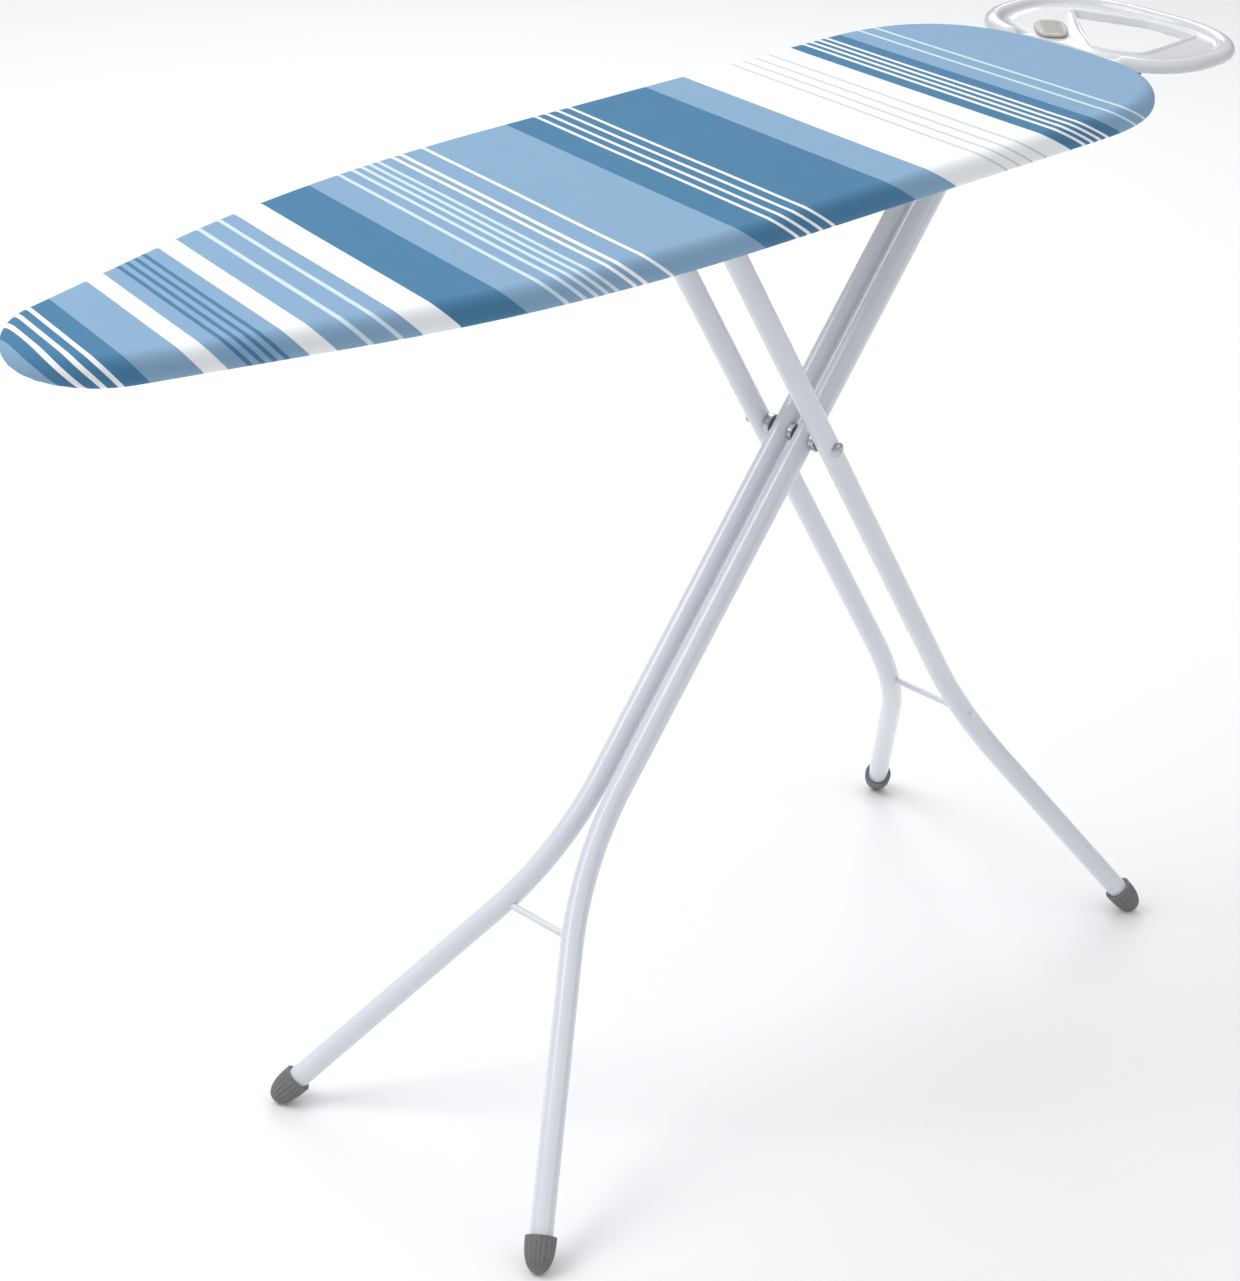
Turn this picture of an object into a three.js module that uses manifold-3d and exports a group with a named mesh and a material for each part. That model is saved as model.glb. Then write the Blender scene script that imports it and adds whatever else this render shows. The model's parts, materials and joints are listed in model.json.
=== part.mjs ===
// A folding ironing board with a scissor stand: a striped cover and pad on a steel platform,
// two bent tube leg frames crossing at one rod, a crossbar that slides in two guide rails,
// a height rack with its lever, and a moulded iron rest past the square end.
//
// Millimetres, +Z up. While it is built, x runs from the tip of the nose (x = 0) to the tail,
// y = 0 is the plane of symmetry and z = 0 is the floor. At the end the whole group is moved
// so that the middle of its box on the floor is the origin.

import * as THREE from 'three';
import { mergeVertices } from 'three/addons/utils/BufferGeometryUtils.js';
import Module from 'manifold-3d';

const wasm = await Module();
wasm.setup();

// ---------------------------------------------------------------- driving dimensions

const gap = 0.3; // between two pieces that touch
const steelWall = 1.5; // pressed sheet steel

// the ironing surface
const boardHeight = 859; // floor to the top of the cover
const boardLength = 1153;
const boardHalfWidth = 157;
const noseRadius = 66;
const shoulderFrom = 200; // the straight taper ends here
const shoulderAt = 368; // the two sides of the shoulder would meet here
const shoulderTo = 560; // the long side starts here
const sideNarrowing = 5; // the long side is this much narrower at the shoulder than at the tail
const tailDepth = 168; // length of the rounded tail
const tailPower = 2.7; // how square the tail's corners are

// cover, pad and platform
const clothThickness = 1.2;
const hemWidth = 34;
const edgeRounding = 9;
const padThickness = 4;
const padInset = 9.5;
const sheetThickness = 1.6;
const sheetInset = 2.8;
const rimDiameter = 12;
const drawcordDiameter = 3;
const drawcordGap = 10; // between its two ends at the tail

// leg frames
const tubeDiameter = 20;
const pivotShare = 0.6688; // height of the cross rod as a share of the board's height
const hingeFromTail = 174;
const innerAngle = THREE.MathUtils.degToRad(51.4); // from the floor, feet under the nose
const outerAngle = THREE.MathUtils.degToRad(55.9); // from the floor, feet under the tail
const innerHalfSpacing = 12.5; // centre of the stand to each inner tube, above the bend
const outerHalfSpacing = 39.2;
const bendStart = 342; // from the cross rod down to where the tubes turn outwards
const bendRadius = 330;
const innerFootHalf = 161;
const outerFootHalf = 163;
const innerBraceAt = 478; // from the cross rod down to the brace
const outerBraceAt = 410;
const braceDiameter = 6;
const rodDiameter = 8; // cross rod, hinge pin and crossbar ends
const capDiameter = 27;
const capLength = 31;
const capSink = 1.2; // how much of each dome is worn flat on the floor
const capWeb = 2; // solid rubber between the tube's end and the dome
const rimChamfer = 2; // round the open end of a cap
const rivetDiameter = 13;
const rivetHeight = 4;
const centreSpacerDiameter = 16;
const sideSpacerDiameter = 18;

// hinge, guide rails and rack
const hingeHalfLength = 38;
const bracketThickness = 3;
const bracketRadius = 11;
const flangeReach = 18; // width of a bracket's foot beyond its web
const flangeHalfLength = 17;
const flangeThickness = 2;
const screwPitch = 10;
const screwDiameter = 4;
const screwHeadDiameter = 8;
const screwHeadHeight = 2.6;
const pinHeadDiameter = 12;
const pinHeadHeight = 3;
const crossbarHalfLength = 54;
const shoeWidth = 12;
const shoeHeight = 14;
const shoeLength = 30;
const railEndRoom = 32; // rail beyond the crossbar at each end of its travel
const foldAngle = THREE.MathUtils.degToRad(50);
const hangerLength = 16;
const channelWidth = 20;
const tailChannelFromTail = 65;
const rackThickness = 4;
const rackClearance = 16; // crossbar's axis to the tips of the teeth
const toothPitch = 24;
const toothDepth = 4;
const rackBack = 2; // steel above the roots of the teeth at the rack's thin end

// lock and lever
const hubOuterRadius = 14;
const pawlWidth = 10;
const pawlTipWidth = 4;
const pawlArmRoom = 5; // arm beyond the lever's axis
const leverDiameter = 6;
const leverReach = 28; // lever in front of the crossbar's axis
const leverDip = 20; // where it passes under the rail
const leverBend = 16; // length over which it dips and rises again
const leverRoot = 3; // lever below the crossbar's axis at the pawl
const gripDiameter = 15;
const gripLength = 34;
const gripRoom = 30; // rail to the grip
const springWire = 1.6;
const springTurns = 4;

// iron rest
const restReach = 169; // tail of the board to the far edge of the rest
const restHalfWidth = 118;
const restOffset = 12; // the rest sits this far to the left of the middle
const restPower = 2.5;
const restThickness = 12;
const restFloor = 6;
const restRounding = 4;
const restRim = 19;
const restGap = 3; // between the rest and the cover
const armDiameter = 8;
const armHalfSpacing = 56;
const armInside = 153; // arm under the board, from its tail
const armOutside = 83; // arm beyond the tail
const restPadLength = 54;
const restPadWidth = 30;
const restPadThickness = 3;
const restPadTurn = THREE.MathUtils.degToRad(42);
const restPadFromTail = 42;
const restPadSideways = 50;
const restPadRibs = 6;
const ribWidth = 3.5;
const ribMargin = 3; // rib's end to the pad's edge
// corners of the way through the rest: distance from the board's tail, distance from the middle
const restOpening = [[25, -12], [40, -52], [132, -48], [138, 6], [112, 76]];
const restOpeningRounding = 12;

// ---------------------------------------------------------------- finishes

const finish = {
  cover: { color: 0x86a9c9, roughness: 0.9, metalness: 0 },
  foam: { color: 0xe8e4da, roughness: 0.95, metalness: 0 },
  enamel: { color: 0xe6e8ee, roughness: 0.35, metalness: 0 },
  zinc: { color: 0xb9bcc0, roughness: 0.35, metalness: 1 },
  cap: { color: 0x68696b, roughness: 0.6, metalness: 0 },
  nylon: { color: 0x3a3b3d, roughness: 0.5, metalness: 0 },
  restPlastic: { color: 0xeceef1, roughness: 0.15, metalness: 0 },
  restPad: { color: 0x9a9894, roughness: 0.4, metalness: 0 },
  arm: { color: 0x4b4d50, roughness: 0.45, metalness: 0 },
  cord: { color: 0xf2f2ee, roughness: 0.9, metalness: 0 },
};

// ---------------------------------------------------------------- small tools

const board = new THREE.Group();

function add(parent, name, look, geometry) {
  const mesh = new THREE.Mesh(geometry, new THREE.MeshStandardMaterial(finish[look]));
  mesh.name = name;
  parent.add(mesh);
  return mesh;
}

function solid(geometry) {
  const plain = geometry.clone();
  plain.deleteAttribute('normal');
  plain.deleteAttribute('uv');
  const merged = mergeVertices(plain, 1e-4);
  return new wasm.Manifold(new wasm.Mesh({
    numProp: 3,
    vertProperties: merged.attributes.position.array,
    triVerts: new Uint32Array(merged.index.array),
  }));
}

function geometryOf(manifold) {
  const mesh = manifold.getMesh();
  const geometry = new THREE.BufferGeometry();
  geometry.setAttribute('position', new THREE.BufferAttribute(mesh.vertProperties, 3));
  geometry.setIndex(new THREE.BufferAttribute(mesh.triVerts, 1));
  return geometry;
}

function cut(geometry, ...tools) {
  return geometryOf(tools.reduce((rest, tool) => rest.subtract(solid(tool)), solid(geometry)));
}

function join(geometry, ...others) {
  return geometryOf(others.reduce((rest, other) => rest.add(solid(other)), solid(geometry)));
}

// A round bar along y, from y0 to y1, with its axis at (x, z).
function barAlongY(diameter, y0, y1, x = 0, z = 0, sides = 20) {
  return new THREE.CylinderGeometry(diameter / 2, diameter / 2, y1 - y0, sides)
    .translate(x, (y0 + y1) / 2, z);
}

// A ring along y: an outer and an inner radius between y0 and y1.
function ringAlongY(outerRadius, innerRadius, y0, y1, sides = 24) {
  const profile = [[innerRadius, y0], [outerRadius, y0], [outerRadius, y1], [innerRadius, y1],
    [innerRadius, y0]].map(([r, y]) => new THREE.Vector2(r, y));
  return new THREE.LatheGeometry(profile, sides);
}

// A domed rivet head along y whose flat back is at y0; side is +1 or -1.
function rivetHead(diameter, height, y0, side) {
  const profile = [new THREE.Vector2(0, 0), new THREE.Vector2(diameter / 2, 0)];
  for (let i = 1; i <= 5; i += 1) {
    const angle = (i / 5) * (Math.PI / 2);
    profile.push(new THREE.Vector2((diameter / 2) * Math.cos(angle), height * Math.sin(angle)));
  }
  profile[profile.length - 1].x = 0;
  const head = new THREE.LatheGeometry(profile, 20);
  if (side < 0) head.rotateX(Math.PI);
  return head.translate(0, y0, 0);
}

// A flat outline in (x, y), as a slab from z0 to z1.
function slab(points, z0, z1) {
  return new THREE.ExtrudeGeometry(new THREE.Shape(points), { depth: z1 - z0, bevelEnabled: false })
    .translate(0, 0, z0);
}

// The same slab with its upper and lower edges rounded inside the outline.
function roundedSlab(points, z0, z1, rounding) {
  return new THREE.ExtrudeGeometry(new THREE.Shape(points), {
    depth: z1 - z0 - 2 * rounding,
    bevelThickness: rounding,
    bevelSize: rounding,
    bevelOffset: -rounding,
    bevelSegments: 2,
  }).translate(0, 0, z0 + rounding);
}

// An outline in (x, z), as a plate from y0 to y1.
function plateAlongY(points, y0, y1) {
  const axes = new THREE.Matrix4().makeBasis(
    new THREE.Vector3(1, 0, 0), new THREE.Vector3(0, 0, 1), new THREE.Vector3(0, -1, 0));
  return new THREE.ExtrudeGeometry(new THREE.Shape(points), { depth: y1 - y0, bevelEnabled: false })
    .applyMatrix4(axes).translate(0, y1, 0);
}

// A profile in (y, z), carried along x from x0 to x1.
function profileAlongX(points, x0, x1) {
  const axes = new THREE.Matrix4().makeBasis(
    new THREE.Vector3(0, 1, 0), new THREE.Vector3(0, 0, 1), new THREE.Vector3(1, 0, 0));
  return new THREE.ExtrudeGeometry(new THREE.Shape(points), { depth: x1 - x0, bevelEnabled: false })
    .applyMatrix4(axes).translate(x0, 0, 0);
}

function tube(path, diameter, steps, sides) {
  const section = new THREE.Shape();
  for (let i = 0; i < sides; i += 1) {
    const angle = (i / sides) * 2 * Math.PI;
    const x = (diameter / 2) * Math.cos(angle);
    const y = (diameter / 2) * Math.sin(angle);
    if (i === 0) section.moveTo(x, y);
    else section.lineTo(x, y);
  }
  return new THREE.ExtrudeGeometry(section, { steps, bevelEnabled: false, extrudePath: path });
}

const v2 = (x, y) => new THREE.Vector2(x, y);
const v3 = (x, y, z) => new THREE.Vector3(x, y, z);
const hands = [['left', 1], ['right', -1]];

// From and to along y, on the left (side +1) or mirrored to the right (side -1).
const span = (side, from, to) => (side > 0 ? [from, to] : [-to, -from]);

// ---------------------------------------------------------------- outline of the board

// Half the outline, on the +y side, from the nose to the tail: a round nose, a straight taper,
// a curved shoulder, a long side and a tail that is a quarter of a superellipse.
function halfOutline() {
  const sideHalf = boardHalfWidth - sideNarrowing;
  const shoulder = v2(shoulderAt, sideHalf);
  const noseCentre = v2(noseRadius, 0);
  const toShoulder = shoulder.clone().sub(noseCentre);
  const taper = Math.atan2(toShoulder.y, toShoulder.x)
    - Math.asin(noseRadius / toShoulder.length());
  const points = [];
  const noseSteps = 9;
  for (let i = 0; i <= noseSteps; i += 1) {
    const angle = Math.PI - (i / noseSteps) * (Math.PI / 2 - taper);
    points.push(v2(noseRadius + noseRadius * Math.cos(angle), noseRadius * Math.sin(angle)));
  }
  const taperEnd = v2(shoulderFrom, sideHalf - (shoulderAt - shoulderFrom) * Math.tan(taper));
  const sideStart = v2(shoulderTo, sideHalf + 0.4 * sideNarrowing);
  points.push(...new THREE.QuadraticBezierCurve(taperEnd, shoulder, sideStart).getPoints(7));
  const tailSteps = 10;
  for (let i = 0; i <= tailSteps; i += 1) {
    const angle = Math.PI / 2 - (i / tailSteps) * (Math.PI / 2);
    points.push(v2(
      boardLength - tailDepth + tailDepth * Math.cos(angle) ** (2 / tailPower),
      boardHalfWidth * Math.sin(angle) ** (2 / tailPower),
    ));
  }
  points[0].y = 0;
  points[points.length - 1].y = 0;
  return points;
}

// The whole outline as a closed run, anticlockwise seen from above, starting at the tail.
const half = halfOutline();
const outline = [
  ...half.slice(1).reverse(),
  ...half.slice(0, -1).map((p) => v2(p.x, -p.y)),
];

// The outline moved inwards by a distance, each point along its own normal.
function inset(points, distance) {
  return points.map((point, i) => {
    const before = points[(i + points.length - 1) % points.length];
    const after = points[(i + 1) % points.length];
    const along = after.clone().sub(before).normalize();
    return v2(point.x - along.y * distance, point.y + along.x * distance);
  });
}

// Half the width of the board at x, less the inset.
function halfWidthAt(x, distance) {
  const edge = inset(outline, distance).filter((p) => p.y >= 0).sort((a, b) => a.x - b.x);
  const next = edge.findIndex((p) => p.x > x);
  const share = (x - edge[next - 1].x) / (edge[next].x - edge[next - 1].x);
  return THREE.MathUtils.lerp(edge[next - 1].y, edge[next].y, share);
}

// An open run round the board at an inset and a height, its ends meeting at the tail.
function rimPath(distance, z, endGap) {
  const points = inset(outline, distance).map((p) => v3(p.x, p.y, z));
  const tailX = points[0].x;
  points[0] = v3(tailX, endGap / 2, z);
  points.push(v3(tailX, -endGap / 2, z));
  return new THREE.CatmullRomCurve3(points, false, 'centripetal');
}

// ---------------------------------------------------------------- heights under the cover

const padTop = boardHeight - clothThickness - gap;
const sheetTop = padTop - padThickness - gap;
const rimAxisHeight = sheetTop - sheetThickness - gap - rimDiameter / 2;
const rimInset = sheetInset + rimDiameter / 2;
const channelTop = sheetTop - sheetThickness - gap;
const channelBottom = channelTop - rimDiameter;
const skirtBottom = channelBottom - gap - (drawcordDiameter + clothThickness) / 2;

// ---------------------------------------------------------------- cover, pad and platform

function makeTop() {
  const outer = roundedSlab(outline, skirtBottom, boardHeight, edgeRounding);
  const inner = roundedSlab(
    inset(outline, clothThickness),
    skirtBottom + clothThickness,
    boardHeight - clothThickness,
    edgeRounding - clothThickness,
  );
  const mouth = slab(inset(outline, hemWidth), skirtBottom - 1, skirtBottom + 2 * clothThickness);
  add(board, 'cover', 'cover', cut(outer, inner, mouth));
  add(board, 'pad', 'foam', slab(inset(outline, padInset), padTop - padThickness, padTop));
  add(board, 'platform_sheet', 'enamel',
    slab(inset(outline, sheetInset), sheetTop - sheetThickness, sheetTop));
  add(board, 'rim_tube', 'enamel', tube(rimPath(rimInset, rimAxisHeight, gap), rimDiameter, 64, 8));
  const cordInset = hemWidth + 3 * gap + drawcordDiameter / 2;
  const cordPath = rimPath(cordInset, skirtBottom + clothThickness / 2, drawcordGap);
  add(board, 'drawcord', 'cord', tube(cordPath, drawcordDiameter, 60, 6));
}

// A pressed channel across the board, open upwards, between the two sides of the rim tube.
function makeChannel(name, x) {
  const rimInside = rimInset + rimDiameter / 2 + 4 * gap;
  const reach = Math.min(halfWidthAt(x - channelWidth / 2, rimInside),
    halfWidthAt(x + channelWidth / 2, rimInside));
  const w = channelWidth / 2;
  const profile = [
    v2(x - w, channelBottom), v2(x + w, channelBottom), v2(x + w, channelTop),
    v2(x + w - steelWall, channelTop), v2(x + w - steelWall, channelBottom + steelWall),
    v2(x - w + steelWall, channelBottom + steelWall), v2(x - w + steelWall, channelTop),
    v2(x - w, channelTop),
  ];
  add(board, name, 'enamel', plateAlongY(profile, -reach, reach));
}

// ---------------------------------------------------------------- the scissor

// The crossing legs, the hinge and the crossbar make a triangle with two equal sides, so the
// crossbar runs on a straight line through the hinge while the stand folds.
const pivotHeight = pivotShare * boardHeight;
const restAngle = (innerAngle + outerAngle) / 2; // the legs' mean lean from the floor
const railSlope = (outerAngle - innerAngle) / 2;

// The crossbar climbs towards the board as the stand folds, so its drop below the top of the
// cover is the platform, the rack at its thin end, and the height it still has to climb.
const climbPerLeg = 2 * (Math.cos(restAngle - foldAngle) - Math.cos(restAngle)) * Math.sin(railSlope);
const climbPerHeight = climbPerLeg / Math.sin(outerAngle);
const roomAbove = boardHeight - channelBottom + gap + rackBack
  + (rackClearance + toothDepth) * Math.cos(railSlope) + railEndRoom * Math.sin(railSlope);
const crossbarDrop = (roomAbove + climbPerHeight * (boardHeight - pivotHeight))
  / (1 + climbPerHeight);

const legTop = (boardHeight - crossbarDrop - pivotHeight) / Math.sin(outerAngle);
const pivotX = boardLength - hingeFromTail - legTop * Math.cos(innerAngle);
const crossbar = v2(pivotX - legTop * Math.cos(outerAngle), boardHeight - crossbarDrop);
const hinge = v2(
  pivotX + legTop * Math.cos(innerAngle),
  pivotHeight + legTop * Math.sin(innerAngle),
);
const reachAtRest = 2 * legTop * Math.cos(restAngle);
const reachFolded = 2 * legTop * Math.cos(restAngle - foldAngle);

// A point on the crossbar's line, measured from the hinge, and a height square to that line.
function railPoint(reach, height) {
  return v2(
    hinge.x - reach * Math.cos(railSlope) + height * Math.sin(railSlope),
    hinge.y + reach * Math.sin(railSlope) + height * Math.cos(railSlope),
  );
}

// One leg tube in its frame's own plane: straight down, round the bend, and out to the foot.
class LegCurve extends THREE.Curve {
  constructor(halfSpacing, footHalf, footDown, side) {
    super();
    this.halfSpacing = halfSpacing;
    this.side = side;
    const dy = footHalf - halfSpacing - bendRadius;
    const dz = bendStart - footDown;
    const distance = Math.hypot(dy, dz);
    this.splay = Math.atan2(dz, dy) + Math.acos(-bendRadius / distance);
    this.straight = legTop + bendStart;
    this.arc = bendRadius * this.splay;
    this.tail = Math.sqrt(distance ** 2 - bendRadius ** 2);
    this.cutBack = capWeb + gap; // the tube stops inside its cap
    this.total = this.straight + this.arc + this.tail - this.cutBack;
  }

  at(length) {
    const turned = THREE.MathUtils.clamp((length - this.straight) / bendRadius, 0, this.splay);
    const beyond = Math.max(0, length - this.straight - this.arc);
    const y = this.halfSpacing + bendRadius * (1 - Math.cos(turned)) + beyond * Math.sin(turned);
    const z = legTop - Math.min(length, this.straight)
      - bendRadius * Math.sin(turned) - beyond * Math.cos(turned);
    return v3(0, this.side * y, z);
  }

  getPoint(t, target = new THREE.Vector3()) {
    return target.copy(this.at(t * this.total));
  }

  // Sideways place of the tube at a distance below the cross rod.
  halfAt(down) {
    const sine = THREE.MathUtils.clamp((down - bendStart) / bendRadius, 0, Math.sin(this.splay));
    const turned = Math.asin(sine);
    const beyond = Math.max(0, down - bendStart - bendRadius * Math.sin(this.splay));
    return this.halfSpacing + bendRadius * (1 - Math.cos(turned)) + beyond * Math.tan(turned);
  }
}

// A rubber cap on the end of a leg tube: a blind sleeve with a round nose, cut by the floor.
function makeCap(frame, name, curve, footHalf, footDown, side, lean) {
  const r = capDiameter / 2;
  const sleeve = capLength - r;
  const bore = (tubeDiameter / 2) + gap;
  const profile = [v2(0, capWeb), v2(bore, capWeb), v2(bore, sleeve),
    v2(r - rimChamfer / 2, sleeve), v2(r, sleeve - rimChamfer)];
  const domeSteps = 5;
  for (let i = 0; i <= domeSteps; i += 1) {
    const angle = (i / domeSteps) * (Math.PI / 2);
    profile.push(v2(r * Math.cos(angle), -r * Math.sin(angle)));
  }
  profile[profile.length - 1].x = 0;
  const cap = new THREE.LatheGeometry(profile.reverse(), 18)
    .rotateX(Math.PI / 2)
    .rotateX(side * curve.splay)
    .translate(0, side * footHalf, -footDown);
  const floor = new THREE.BoxGeometry(4 * boardLength, 4 * boardLength, pivotHeight)
    .translate(0, 0, -1.5 * pivotHeight)
    .rotateY(-lean);
  add(frame, name, 'cap', cut(cap, floor));
}

function makeLegFrame(label, angle, lean, halfSpacing, footHalf, braceDown, braceSpare) {
  const frame = new THREE.Group();
  frame.position.set(pivotX, 0, pivotHeight);
  frame.rotation.y = lean;
  board.add(frame);
  const domeHeight = capDiameter / 2 - capSink;
  const footDown = (pivotHeight - domeHeight) / Math.sin(angle);
  const curves = hands.map(([, side]) => new LegCurve(halfSpacing, footHalf, footDown, side));
  const braceHalf = curves[0].halfAt(braceDown) + braceSpare;
  const wide = outerFootHalf + tubeDiameter;
  hands.forEach(([hand, side], i) => {
    const bar = tube(curves[i], tubeDiameter, 36, 12);
    const holes = [
      barAlongY(rodDiameter + 2 * gap, -wide, wide),
      barAlongY(tubeDiameter + 2 * gap, -wide, wide, 0, legTop, 32),
      barAlongY(braceDiameter + 2 * gap, -braceHalf - gap, braceHalf + gap, 0, -braceDown, 12),
    ];
    add(frame, `${label}_leg_tube_${hand}`, 'enamel', cut(bar, ...holes));
    makeCap(frame, `${label}_foot_cap_${hand}`, curves[i], footHalf, footDown, side, lean);
  });
  add(frame, `${label}_brace_rod`, 'enamel',
    barAlongY(braceDiameter, -braceHalf, braceHalf, 0, -braceDown, 12));
  return frame;
}

function makeStand() {
  const innerFrame = makeLegFrame('inner', innerAngle, Math.PI / 2 - innerAngle,
    innerHalfSpacing, innerFootHalf, innerBraceAt, 0);
  const outerFrame = makeLegFrame('outer', outerAngle, outerAngle - Math.PI / 2,
    outerHalfSpacing, outerFootHalf, outerBraceAt, tubeDiameter / 2 + 3);

  // the tube that the inner legs hang from turns on the hinge pin
  const boreDiameter = rodDiameter + 2 * gap;
  add(innerFrame, 'inner_hinge_tube', 'enamel',
    ringAlongY(tubeDiameter / 2, boreDiameter / 2, -hingeHalfLength, hingeHalfLength)
      .translate(0, 0, legTop));

  // the cross rod, its spacers and its two heads
  const rodHalf = outerHalfSpacing + tubeDiameter / 2;
  add(innerFrame, 'cross_rod', 'zinc', barAlongY(rodDiameter, -rodHalf, rodHalf));
  const middle = innerHalfSpacing - tubeDiameter / 2 - gap;
  add(innerFrame, 'centre_spacer', 'zinc', 
    ringAlongY(centreSpacerDiameter / 2, boreDiameter / 2, -middle, middle));
  const spacerFrom = innerHalfSpacing + tubeDiameter / 2 + gap;
  const spacerTo = outerHalfSpacing - tubeDiameter / 2 - gap;
  for (const [hand, side] of hands) {
    add(innerFrame, `side_spacer_${hand}`, 'zinc',
      ringAlongY(sideSpacerDiameter / 2, boreDiameter / 2, ...span(side, spacerFrom, spacerTo)));
    add(innerFrame, `rod_head_${hand}`, 'zinc',
      rivetHead(rivetDiameter, rivetHeight, side * (rodHalf + gap), side));
  }

  // the crossbar of the outer frame has a thin end in each shoe
  const endHalf = crossbarHalfLength + shoeWidth - 1;
  const profile = [
    v2(0, -endHalf), v2(rodDiameter / 2, -endHalf), v2(rodDiameter / 2, -crossbarHalfLength),
    v2(tubeDiameter / 2, -crossbarHalfLength), v2(tubeDiameter / 2, crossbarHalfLength),
    v2(rodDiameter / 2, crossbarHalfLength), v2(rodDiameter / 2, endHalf), v2(0, endHalf),
  ];
  add(outerFrame, 'crossbar', 'enamel',
    new THREE.LatheGeometry(profile, 24).translate(0, 0, legTop));
}

// ---------------------------------------------------------------- hinge under the board

function makeHinge() {
  const top = channelBottom - gap;
  const inner = hingeHalfLength + gap;
  const outer = inner + bracketThickness;
  const flangeWidth = bracketThickness + flangeReach;
  const plate = new THREE.Shape();
  plate.moveTo(hinge.x - flangeHalfLength, top);
  plate.lineTo(hinge.x - bracketRadius, hinge.y);
  plate.absarc(hinge.x, hinge.y, bracketRadius, Math.PI, 2 * Math.PI, false);
  plate.lineTo(hinge.x + flangeHalfLength, top);
  const web = plateAlongY(plate.getPoints(10), 0, bracketThickness);
  const flange = new THREE.BoxGeometry(2 * flangeHalfLength, flangeWidth, flangeThickness)
    .translate(hinge.x, flangeWidth / 2, top - flangeThickness / 2);
  const pinHole = barAlongY(rodDiameter + 2 * gap, -1, flangeWidth, hinge.x, hinge.y);
  const screwXs = [hinge.x - screwPitch / 2, hinge.x + screwPitch / 2];
  const screwY = bracketThickness + flangeReach / 2;
  const holeRadius = screwDiameter / 2 + gap;
  const screwHoles = screwXs.map((x) => (
    new THREE.CylinderGeometry(holeRadius, holeRadius, 3 * flangeThickness, 12)
      .rotateX(Math.PI / 2).translate(x, screwY, top)));
  const bracket = cut(join(web, flange), pinHole, ...screwHoles);
  for (const [hand, side] of hands) {
    const placed = bracket.clone().translate(0, inner, 0);
    if (side < 0) placed.rotateZ(Math.PI).translate(2 * hinge.x, 0, 0);
    add(board, `hinge_bracket_${hand}`, 'zinc', placed);
    add(board, `hinge_pin_head_${hand}`, 'zinc',
      rivetHead(pinHeadDiameter, pinHeadHeight, side * (outer + gap), side)
        .translate(hinge.x, 0, hinge.y));
    screwXs.forEach((x, i) => {
      const screw = new THREE.LatheGeometry([
        v2(0, -screwHeadHeight), v2(screwHeadDiameter / 3, 0.4 - screwHeadHeight),
        v2(screwHeadDiameter / 2, -gap), v2(screwDiameter / 2, -gap),
        v2(screwDiameter / 2, flangeThickness), v2(0, flangeThickness),
      ], 12).rotateX(Math.PI / 2)
        .translate(x, side * (inner + screwY), top - flangeThickness);
      add(board, `bracket_screw_${hand}_${i + 1}`, 'zinc', screw);
    });
  }
  add(board, 'hinge_pin', 'zinc', barAlongY(rodDiameter, -outer, outer, hinge.x, hinge.y));
}

// ---------------------------------------------------------------- guide rails and rack

const shoeInner = crossbarHalfLength + gap;
const railInside = shoeHeight / 2 + gap;
const railOutside = railInside + steelWall;
const railFrom = reachAtRest - railEndRoom;
const railTo = reachFolded + railEndRoom;
const railWeb = shoeInner + shoeWidth + gap;

// The channels that carry the rails stand over their two ends.
const rearChannelX = railPoint(railFrom, 0).x - channelWidth / 2;
const frontChannelX = railPoint(railTo, 0).x + channelWidth / 2;
const noseChannelX = frontChannelX / 2;
const tailChannelX = boardLength - tailChannelFromTail;

function makeRails() {
  const rails = new THREE.Group();
  rails.position.set(hinge.x, 0, hinge.y);
  rails.rotation.y = railSlope;
  board.add(rails);
  const profile = [
    v2(shoeInner, -railOutside), v2(railWeb + steelWall, -railOutside),
    v2(railWeb + steelWall, railOutside), v2(shoeInner, railOutside), v2(shoeInner, railInside),
    v2(railWeb, railInside), v2(railWeb, -railInside), v2(shoeInner, -railInside),
  ];
  const mirrored = profile.map((p) => v2(-p.x, p.y)).reverse();
  add(rails, 'guide_rail_left', 'zinc', profileAlongX(profile, -railTo, -railFrom));
  add(rails, 'guide_rail_right', 'zinc', profileAlongX(mirrored, -railTo, -railFrom));

  const hangerHalf = hangerLength / 2;
  for (const [place, x] of [['front', frontChannelX], ['rear', rearChannelX]]) {
    const foot = [x - hangerHalf, x + hangerHalf].map((footX) => v2(footX,
      railPoint(0, railOutside + gap).y + (hinge.x - footX) * Math.tan(railSlope)));
    const hangerTop = channelBottom - gap;
    const hanger = [foot[0], foot[1], v2(x + hangerHalf, hangerTop), v2(x - hangerHalf, hangerTop)];
    for (const [hand, side] of hands) {
      add(board, `rail_hanger_${place}_${hand}`, 'zinc',
        plateAlongY(hanger, ...span(side, shoeInner, railWeb + steelWall)));
    }
  }
}

function makeRack() {
  const points = [];
  const top = channelBottom - gap;
  const teeth = Math.floor((railTo - railFrom) / toothPitch);
  points.push(v2(railPoint(railTo, 0).x, top));
  for (let i = teeth; i > 0; i -= 1) {
    const reach = railFrom + i * toothPitch;
    points.push(railPoint(reach, rackClearance + toothDepth));
    points.push(railPoint(reach - toothPitch * 0.25, rackClearance));
    points.push(railPoint(reach - toothPitch * 0.55, rackClearance));
    points.push(railPoint(reach - toothPitch * 0.6, rackClearance + toothDepth));
  }
  points.push(railPoint(railFrom, rackClearance + toothDepth));
  points.push(v2(railPoint(railFrom, 0).x, top));
  add(board, 'height_rack', 'zinc', plateAlongY(points, -rackThickness / 2, rackThickness / 2));
}

// ---------------------------------------------------------------- shoes, lock and lever

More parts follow.
